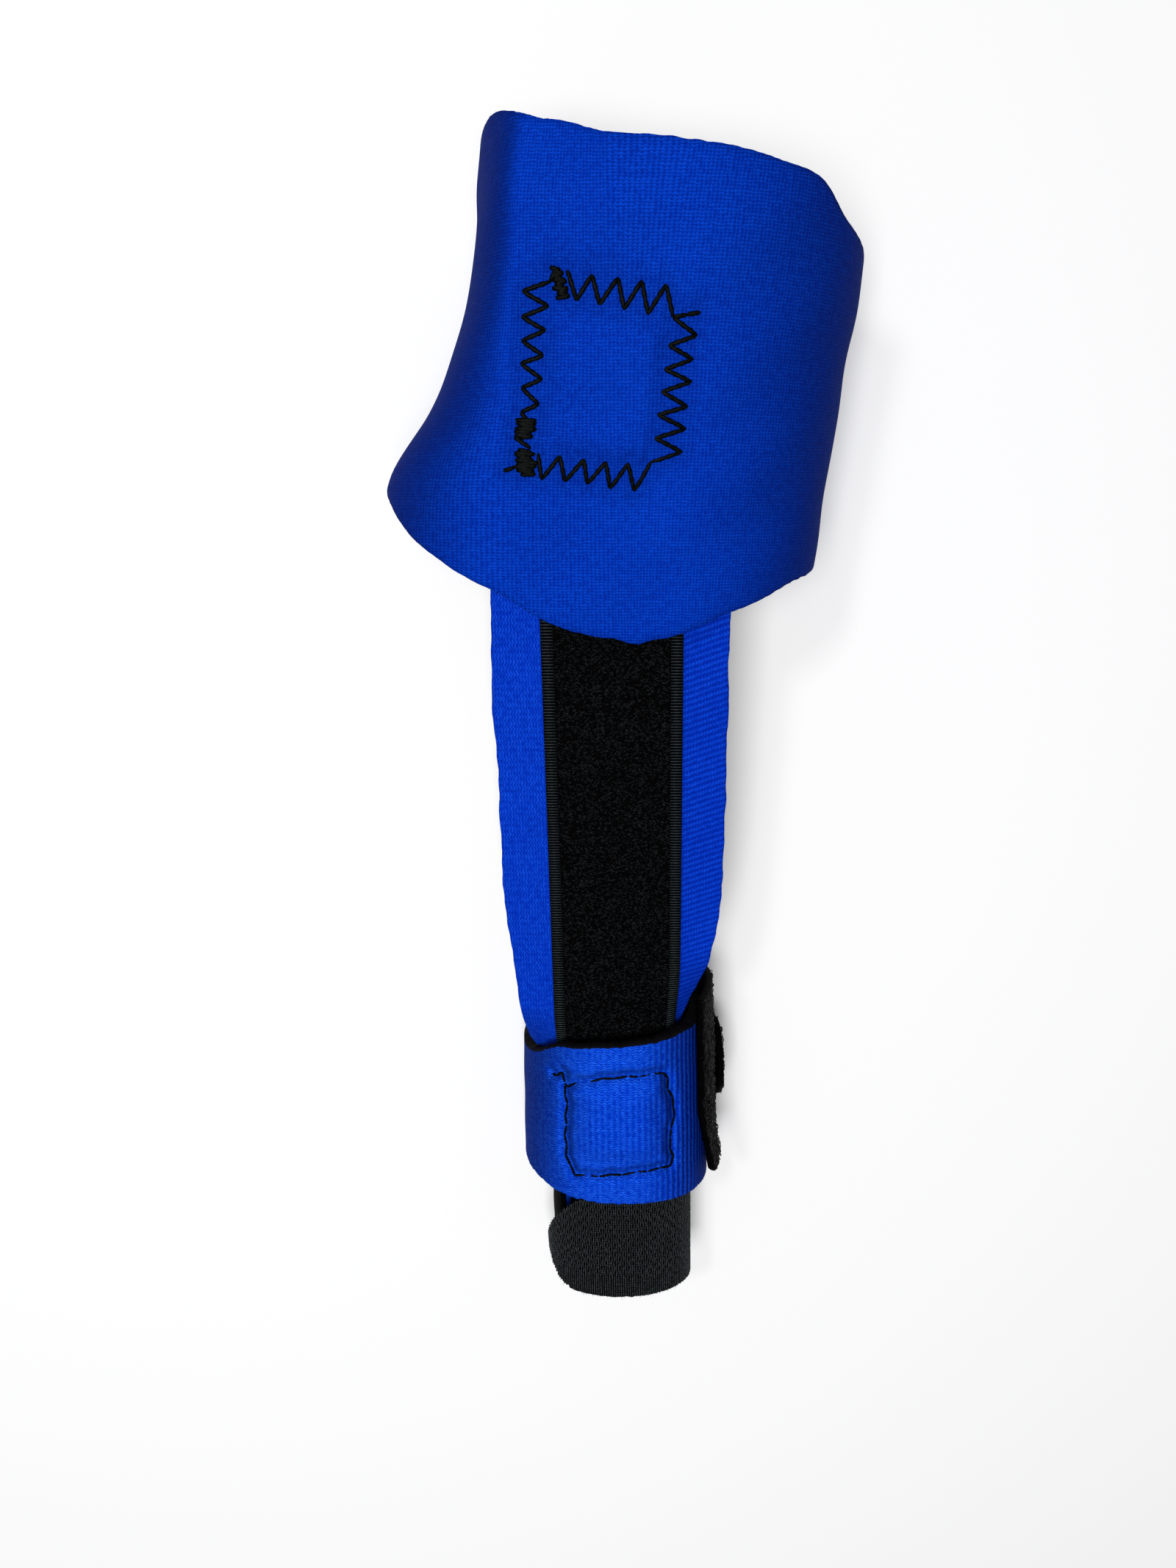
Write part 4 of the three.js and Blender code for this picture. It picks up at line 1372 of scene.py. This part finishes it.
    def build(self, dresser: Dresser) -> None:
        """Makes the strip and the tape."""
        self.strip(dresser)
        self.tape(dresser)


def finger_girth(centre: np.ndarray, half: np.ndarray | float, mid: float, crest: float, foot: float,
                 floor: float, top: np.ndarray | float, power: float) -> Girth:
    """A girth that is alike on both sides of a middle near the finger's line.

    Args:
        centre: the x of its middle.
        half: half its width.
        mid: the height of its widest line.
        crest: half the width of its flat top.
        foot: how far its floor's edge lies inside the widest line.
        floor: the height of its floor.
        top: the height of its top.
        power: how square its shoulders are.

    Returns:
        The girth.
    """
    thumb, little = (
        HalfGirth(centre + side.value * half, centre + side.value * crest,
                  centre + side.value * (half - foot), floor, centre)
        for side in (Side.THUMB, Side.LITTLE))
    return Girth(centre, top, mid, power, thumb, little)


@dataclass
class FingerSleeve:
    """The blue sleeve round the finger, its straight-stitched box and the pieces that close it."""

    width: float = 40.0
    rim_width: float = 38.4
    aside: float = -0.4
    skew: float = 1.8
    rim_drop: float = 4.6  # how far the rim lies nearer the fingertip on the thumb side
    tip_cut: float = 4.5
    slit: float = 0.03
    mid: float = 14.0
    foot: float = 12.0
    crest: float = 2.0
    crown: float = 2.3
    panel_thickness: float = 2.0
    panel_top_end: float = -113.0
    panel_length: float = 42.0
    panel_turns: tuple[float, float] = (1.6, 2.45)
    panel_cut: float = 9.0  # how far the panel's back corner is cut away at its fingertip end
    flare: float = 1.0
    flare_start: float = 0.78
    tab_thickness: float = 1.8
    tab_top_end: float = -125.0
    tab_length: float = 19.5
    tab_rim: float = 1.98
    tab_round: float = 0.35
    end_trim: float = 0.35
    box_across: tuple[float, float] = (-3.0, 16.0)  # the stitched box, inside which the cloth swells
    box_along: tuple[float, float] = (-149.0, -129.0)
    swell: float = 0.45
    # The stitched box's thread, as pixels of the photograph where it turns
    box: Pixels = (
        (766, 1460), (771, 1500), (769, 1545), (772, 1582), (783, 1599), (829, 1600), (883, 1593),
        (916, 1585), (911, 1548), (918, 1510), (909, 1478), (907, 1458), (866, 1465), (818, 1469),
        (779, 1474), (768, 1482))
    knot: Pixels = ((752, 1461), (758, 1464), (764, 1459), (768, 1463))
    stitch: float = 2.5

    def girth(self, y: np.ndarray) -> Girth:
        """The sleeve's outer girth at y."""
        share = (SLEEVE_TOP_END - y) / SLEEVE_LENGTH
        half = (self.rim_width + (self.width - self.rim_width) * np.sin(share * math.pi / 2)) / 2
        return finger_girth(axis_x(y) + self.aside, half, self.mid, self.crest, self.foot, 0.0,
                            back_height(y) + COVER_LIFT + WALL, self.crown)

    def surface(self, turn: np.ndarray, y: np.ndarray, lift: np.ndarray | float) -> Points:
        """Points of the sleeve: lift is 0 on its outer face."""
        x, z = self.girth(y).point(turn, lift)
        return np.stack([x, y, z], axis=-1)

    def holes(self, surface: BVHTree) -> list[Points]:
        """The needle holes of the box, a stitch apart, and of the knot."""
        rng = np.random.default_rng(14)
        line = stitched(surface, [*self.box, self.box[0]])
        lengths = np.concatenate([[0], np.cumsum(np.linalg.norm(np.diff(line, axis=0), axis=1))])
        spots = np.linspace(0, lengths[-1], round(lengths[-1] / self.stitch) + 1)
        run = np.stack([np.interp(spots, lengths, line[:, k]) for k in range(3)], axis=1)
        # Stitches lie a little to either side in turn
        aside = np.where(np.arange(len(run)) % 2, 1, -1)[:, None] * 0.16
        run[:, :2] += aside + rng.uniform(-0.1, 0.1, (len(run), 2))
        return [run, stitched(surface, self.knot)]

    def sleeve(self, dresser: Dresser) -> None:
        """Makes the sleeve and its thread."""
        runs = ((2 + self.slit, 3), (3, 4), *((q, q + 1) for q in range(-4, 1)), (1, 2 - self.slit))
        turns, arc = even_turns(self.surface, runs, SLEEVE_MIDDLE, 0.31)
        shares = np.linspace(0, 1, 76)
        rim_x, _ = self.girth(np.array([SLEEVE_TOP_END])).point(turns, 0.0)
        across = (rim_x - axis_x(SLEEVE_TOP_END) - self.aside) / (self.rim_width / 2)
        top = SLEEVE_TOP_END + self.skew * across + rough(len(turns), 0.06, 61)
        top -= self.rim_drop * smooth(-across, 0.55, 1.0)
        tip = SLEEVE_TOP_END - SLEEVE_LENGTH + self.tip_cut * np.minimum(across, 0) ** 2
        tip += rough(len(turns), 0.07, 62)
        y = top[:, None] * (1 - shares) + tip[:, None] * shares
        turn = np.repeat(turns, len(shares))
        base = self.surface(turn, y.ravel(), 0.0)
        grid = base.reshape(*y.shape, 3)
        flat = np.stack([np.repeat(arc, len(shares)), y.ravel()], axis=-1).reshape(*y.shape, 2)
        tree = surface_tree(grid)
        holes = self.holes(tree)
        # Ribs show most where the cloth bends on the little-finger side
        strength = 0.02 + 0.09 * smooth(base[:, 0], 8, 21)
        places = flat[:, :, 0].ravel()
        relief = Grain(rib_height=0.0, sway=0.12, seed=4).relief(base, places)
        relief += Grain(rib_height=1.0, sway=0.0).relief(base, places) * strength
        inside = plateau(base[:, 0], *self.box_across, 5) * plateau(base[:, 1], *self.box_along, 5)
        inside *= base[:, 2] > self.mid
        relief += self.swell * inside - Seam(holes, pull=0.8, reach=1.2).dent(base)
        relief *= smooth(base[:, 2], 0.5, 5.0)
        outer = grid + grid_normals(grid) * relief.reshape(*y.shape, 1)
        inner = self.surface(turn, y.ravel(), -WALL).reshape(grid.shape)
        ribbed = smooth(base[:, 0], 9, 21) + 0.35 * inside
        # Painted shade: the knit's colour darkens close to the thread, besides the real dent
        cloth = Cloth("finger_sleeve_cloth", outer, inner, flat, FINISHES.sleeve, FINISHES.foam,
                      bulge=0.6, rims=6, lip=False, ribbed=ribbed,
                      seam_painted_shade=Seam(holes, pull=1.0, reach=1.3).dent(base))
        piece = cloth.build()
        dresser.finish(piece, "sleeve_neoprene", "finger_sleeve")
        sewn = surface_tree(outer)
        holes = self.holes(sewn)
        thread = dresser.threads("sleeve_box_thread", holes, [outward(sewn, line) for line in holes],
                                 BladeShape.THREAD, 0.56, 0.5, FINISHES.thread)
        dresser.finish(thread, "thread")
        fuzz = dresser.edge_fuzz("finger_sleeve_edge_fibres", cloth, FINISHES.blue_fuzz, 6.0,
                                 (0.15, 0.45), 23)
        dresser.finish(fuzz, "sleeve_neoprene")

    def closing_piece(self, dresser: Dresser, name: str, node: str, turns: np.ndarray,
                      hems: tuple[Points, Points], lifts: Callable[[np.ndarray], np.ndarray],
                      thickness: float, curls: int, seed: int) -> None:
        """Makes a coarse loop piece on the sleeve's little-finger side.

        Args:
            dresser: dresses the piece.
            name: its name.
            node: the CAD node that it stands for.
            turns: where its columns lie, in quarter turns.
            hems: the y of its forearm and fingertip hem, for each column.
            lifts: how far its inner face stands off the sleeve, for shares of its length.
            thickness: its thickness.
            curls: how many loops it has.
            seed: for the chance.
        """
        shares = np.linspace(0, 1, 61)
        y = hems[0][:, None] * (1 - shares) + hems[1][:, None] * shares
        turn = np.repeat(turns, len(shares))
        lift = np.tile(lifts(shares), len(turns))
        outer = self.surface(turn, y.ravel(), lift + thickness).reshape(*y.shape, 3)
        inner = self.surface(turn, y.ravel(), lift).reshape(*y.shape, 3)
        rows = np.linalg.norm(np.diff(outer, axis=0), axis=2).mean(axis=1)
        arc = np.concatenate([[0], np.cumsum(rows)])
        flat = np.stack([np.broadcast_to(arc[:, None], y.shape), y], axis=-1)
        grain = Grain(rib_height=0.0, sway=0.3, sway_length=3.2, seed=seed)
        lumps = grain.relief(outer.reshape(-1, 3), 0 * y.ravel())
        # The ground lies deep, and the curls fill it up to the solid's height
        outer = outer + grid_normals(outer) * (lumps.reshape(*y.shape, 1) - 0.45)
        cloth = Cloth(name, outer, inner, flat, FINISHES.coarse_pile, FINISHES.coarse_pile, bulge=0.3)
        piece = cloth.build()
        dresser.finish(piece, "loop_panel", node)
        pile = dresser.pile(f"{name}_curls", cloth, lambda points, _: points[:, 2] > -9, curls,
                            BladeShape.COARSE_CURL, (0.8, 1.3), 180, seed)
        dresser.finish(pile, "loop_panel")
        fuzz = dresser.edge_fuzz(f"{name}_edge_fibres", cloth, FINISHES.black_fuzz, 1.0, (0.3, 0.8),
                                 seed + 1)
        dresser.finish(fuzz, "loop_panel")

    def build(self, dresser: Dresser) -> None:
        """Makes the sleeve, the closing panel and its tab."""
        self.sleeve(dresser)
        turns = np.linspace(*self.panel_turns, 61)
        cut = self.panel_cut * (1 - smooth(turns, self.panel_turns[0], self.panel_turns[0] + 0.13))
        hems = np.full(61, self.panel_top_end), self.panel_top_end - self.panel_length + cut
        self.closing_piece(dresser, "sleeve_panel_pile", "sleeve_loop_panel", turns, hems,
                           lambda share: GAP + self.flare * smooth(share, self.flare_start, 1),
                           self.panel_thickness, 900, 41)
        turns = np.linspace(self.tab_rim, self.panel_turns[1], 41)
        trim = round_trim((turns - self.tab_rim) / self.tab_round, self.tab_length, self.end_trim)
        hems = self.tab_top_end - trim, self.tab_top_end - self.tab_length + trim
        self.closing_piece(dresser, "closure_tab_pile", "closure_tab", turns, hems,
                           lambda share: GAP + self.panel_thickness + GAP + 0 * share,
                           self.tab_thickness, 240, 43)


def round_trim(share: np.ndarray, width: float, trim: float) -> np.ndarray:
    """How much a round end takes off each side: share is 0 at the end and 1 where it has full width."""
    inside = 1 - np.clip(share, 0, 1)
    return (1 - np.sqrt(1 - inside ** 2)) * width * trim


@dataclass
class FingerTrough:
    """The foam trough under the finger, the loop cloth round it and the woven band near the tip."""

    width: float = 26.2
    top_end: float = -119.5
    tip_end: float = -184.5
    foot: float = 8.0
    mid: float = 14.0
    rim: float = 1.68
    band_tip_end: float = -185.7
    band_width: float = 25.0
    band_top: float = 24.5
    band_start: float = -2.4
    band_end: float = -1.98
    band_turns: tuple[float, float] = (-1.22, -1.52)  # where the end's round corners begin
    warp_pitch: float = 0.5
    warp_swing: float = 0.1
    warp_dive: float = 0.18
    pile_tip: float = -163.0  # where the loop cloth goes under the band
    pile_foot: float = 4.0  # the lowest height at which its pile is made
    float_length: float = 2.3  # of the band's raised threads between their crossings
    plain_edge: float = 4.7  # ribbed border of the band on its fingertip side

    def surface(self, turn: np.ndarray, y: np.ndarray, lift: np.ndarray | float) -> Points:
        """Points of the trough: lift is 0 on its outer face."""
        top = self.band_top - WEAVE - GAP - TAPE - GAP
        girth = finger_girth(axis_x(y), self.width / 2, self.mid, 0.0, self.foot, TROUGH_FLOOR, top, 2.0)
        x, z = girth.point(turn, lift)
        return np.stack([x, y, z], axis=-1)

    def layer(self, name: str, lifts: tuple[float, float], skin: Finish, core: Finish, step: float,
              sway: float) -> Cloth:
        """The trough or the cloth round it.

        Args:
            name: its name.
            lifts: how far its inner and outer face lie off the trough's outer face.
            skin: the finish of its outer face.
            core: the finish of its rims and inner face.
            step: distance between its columns.
            sway: height of its slow unevenness.

        Returns:
            The cloth.
        """
        runs = ((self.rim, 2), (2, 3), (3, 4), (-4, -3), (-3, -2), (-2, -self.rim))
        turns, arc = even_turns(self.surface, runs, self.top_end, step)
        rows = np.linspace(self.top_end, self.tip_end, 60)
        y = np.broadcast_to(rows, (len(turns), len(rows)))
        turn = np.repeat(turns, len(rows))
        outer = self.surface(turn, y.ravel(), lifts[1])
        relief = Grain(rib_height=0.0, sway=sway, sway_length=9.0).relief(outer, 0 * turn)
        grid = outer.reshape(*y.shape, 3)
        grid = grid + grid_normals(grid) * relief.reshape(*y.shape, 1)
        inner = self.surface(turn, y.ravel(), lifts[0]).reshape(grid.shape)
        flat = np.stack([np.broadcast_to(arc[:, None], y.shape), y], axis=-1)
        return Cloth(name, grid, inner, flat, skin, core)

    def lifted(self, turn: np.ndarray, y: np.ndarray, lift: np.ndarray | float) -> Points:
        """Points of the band: lift is 0 on its outer face."""
        return self.surface(turn, y, GAP + TAPE + GAP + WEAVE + lift)

    def warp(self, turns: np.ndarray, arc: np.ndarray, top: np.ndarray,
             tip: np.ndarray) -> tuple[list[Points], list[Points]]:
        """The band's raised threads.

        Args:
            turns: the quarter turns of the band's columns.
            arc: the distance of each column from the first.
            top: the y of the forearm hem at each.
            tip: the y of the fingertip hem at each.

        Returns:
            The points of each thread, and the way out of the band at each point.
        """
        lines, outs = [], []
        for k, place in enumerate(np.arange(0.4, arc[-1] - 0.3, self.warp_pitch)):
            i = int(np.clip(np.searchsorted(arc, place), 1, len(arc) - 2))
            if abs(turns[i] - turns[i - 1]) > 1:
                i += 1
            per_mm = (turns[i] - turns[i - 1]) / (arc[i] - arc[i - 1])
            start, end = top[i] - 0.15, tip[i] + 0.1
            phase = (k // 2 % 2) / 2
            stops = np.append(np.arange(start, end, -self.float_length / 4), end)
            # A thread floats, dives under the weft and comes up again, except in the plain edge
            wave = np.cos(2 * math.pi * (stops / self.float_length - phase))
            crossed = smooth(stops, end + self.plain_edge - 1, end + self.plain_edge + 1)
            swing = self.warp_swing * (-1) ** k * wave * crossed
            turn = turns[i - 1] + (place + swing - arc[i - 1]) * per_mm
            dive = self.warp_dive * np.maximum(wave, 0) ** 3 * crossed
            line, deeper = self.lifted(turn, stops, -0.06 - dive), self.lifted(turn, stops, -1.0)
            lines.append(line)
            outs.append((line - deeper) / np.linalg.norm(line - deeper, axis=1, keepdims=True))
        return lines, outs

    def band(self, dresser: Dresser) -> None:
        """Makes the woven band: a ground, and raised warp threads that run along the finger."""
        runs = ((self.band_end, -1), (1, 2), (2, 3), (3, 4), (-4, -3), (-3, self.band_start))
        turns, arc = even_turns(self.lifted, runs, self.band_tip_end, 0.3)
        # The visible end is cut round, more on its forearm side
        turned = np.where(arc < arc[-1] / 2, turns, 0.0)
        upper = np.clip((self.band_turns[0] - turned) / (self.band_turns[0] - self.band_end), 0, 1)
        lower = np.clip((self.band_turns[1] - turned) / (self.band_turns[1] - self.band_end), 0, 1)
        rng = np.random.default_rng(17)
        fray = np.abs(rng.normal(0, 0.1, len(turns))) + 0.6 * rng.uniform(0, 1, len(turns)) * (lower > 0)
        top = self.band_tip_end + self.band_width - 0.62 * self.band_width * upper ** 1.3
        tip = self.band_tip_end + 0.34 * self.band_width * lower ** 1.5 + fray
        shares = np.linspace(0, 1, 26)
        y = top[:, None] * (1 - shares) + tip[:, None] * shares
        turn = np.repeat(turns, len(shares))
        outer = self.lifted(turn, y.ravel(), -0.18).reshape(*y.shape, 3)
        inner = self.lifted(turn, y.ravel(), -WEAVE).reshape(*y.shape, 3)
        flat = np.stack([np.broadcast_to(arc[:, None], y.shape), y], axis=-1)
        cloth = Cloth("tip_band_ground", outer, inner, flat, FINISHES.ground, FINISHES.ground, bulge=0.1)
        piece = cloth.build()
        dresser.finish(piece, "woven_tape", "tip_band")
        lines, outs = self.warp(turns, arc, top, tip)
        threads = dresser.threads("tip_band_warp_threads", lines, outs, BladeShape.RIB, 0.36, 0.26,
                                  FINISHES.band_thread)
        dresser.finish(threads, "woven_tape")
        fuzz = dresser.edge_fuzz("tip_band_frayed_ends", cloth, FINISHES.black_fuzz, 1.6,
                                 (0.4, 1.0), 47)
        dresser.finish(fuzz, "woven_tape")

    def build(self, dresser: Dresser) -> None:
        """Makes the trough, its loop cloth and the band."""
        pad = self.layer("finger_trough_pad", (-WALL, 0.0), FINISHES.wrap, FINISHES.foam, 0.6, 0.05)
        piece = pad.build()
        dresser.finish(piece, "trough_foam", "finger_trough")
        cloth = self.layer("trough_loop_cloth", (GAP, GAP + TAPE), FINISHES.pile, FINISHES.pile, 0.5,
                           0.06)
        piece = cloth.build()
        dresser.finish(piece, "loop_tape", "trough_loop_tape")

        def seen(points: Points, _: Points) -> np.ndarray:
            """Whether a place has pile that can be seen."""
            return (points[:, 1] > self.pile_tip) & (points[:, 2] > self.pile_foot)

        pile = dresser.pile("trough_loop_cloth_pile", cloth, seen, 5600, BladeShape.CURL, (0.45, 0.85),
                            180, 33)
        dresser.finish(pile, "loop_tape")
        self.band(dresser)


@dataclass
class Studio:
    """A pale floor and soft light from above."""

    floor_size: float = 6.0
    sky: float = 0.14

    def light(self, name: str, place: tuple[float, float, float], size: float, power: float) -> None:
        """Adds a square soft light that looks at the middle of the splint.

        Args:
            name: its name.
            place: where it hangs, in metres.
            size: the length of its side.
            power: its power in watts.
        """
        data = bpy.data.lights.new(name, "AREA")
        data.shape, data.size, data.energy = "SQUARE", size, power
        lamp = bpy.data.objects.new(name, data)
        lamp.location = place
        aim = np.array([0.0, -0.07, 0.0]) - np.array(place)
        tip = math.atan2(math.hypot(aim[0], aim[1]), -aim[2])
        lamp.rotation_euler = (tip, 0, math.atan2(-aim[0], aim[1]))
        bpy.context.scene.collection.objects.link(lamp)

    def build(self) -> None:
        """Makes the floor, the lights and the sky."""
        half = self.floor_size / 2 / MM
        corners = np.array([(-half, -half, 0), (half, -half, 0), (half, half, 0), (-half, half, 0)])
        floor = plain_object("floor", corners, [], [(0, 1, 2, 3)])
        floor.data.materials.append(material_of(FINISHES.board))
        self.light("overhead_softbox", (-0.1, -0.08, 1.0), 0.4, 10.0)
        self.light("small_key", (-0.35, 0.3, 0.9), 0.12, 1.6)
        world = bpy.data.worlds.new("studio")
        bpy.context.scene.world = world
        world.use_nodes = True
        sky = next(n for n in world.node_tree.nodes if n.type == "BACKGROUND")
        sky.inputs["Color"].default_value = linear("#ffffff")
        sky.inputs["Strength"].default_value = self.sky
        bpy.context.scene.view_settings.view_transform = "Standard"


def main() -> None:
    """Builds the splint and the studio."""
    logging.basicConfig(level=logging.INFO, format="%(name)s: %(message)s")
    VIEW.make()
    Studio().build()
    dresser = Dresser()
    for assembly in (FingerTrough(), HandStrip(), FingerSleeve(), WristWrap()):
        assembly.build(dresser)


if __name__ == "__main__":
    main()
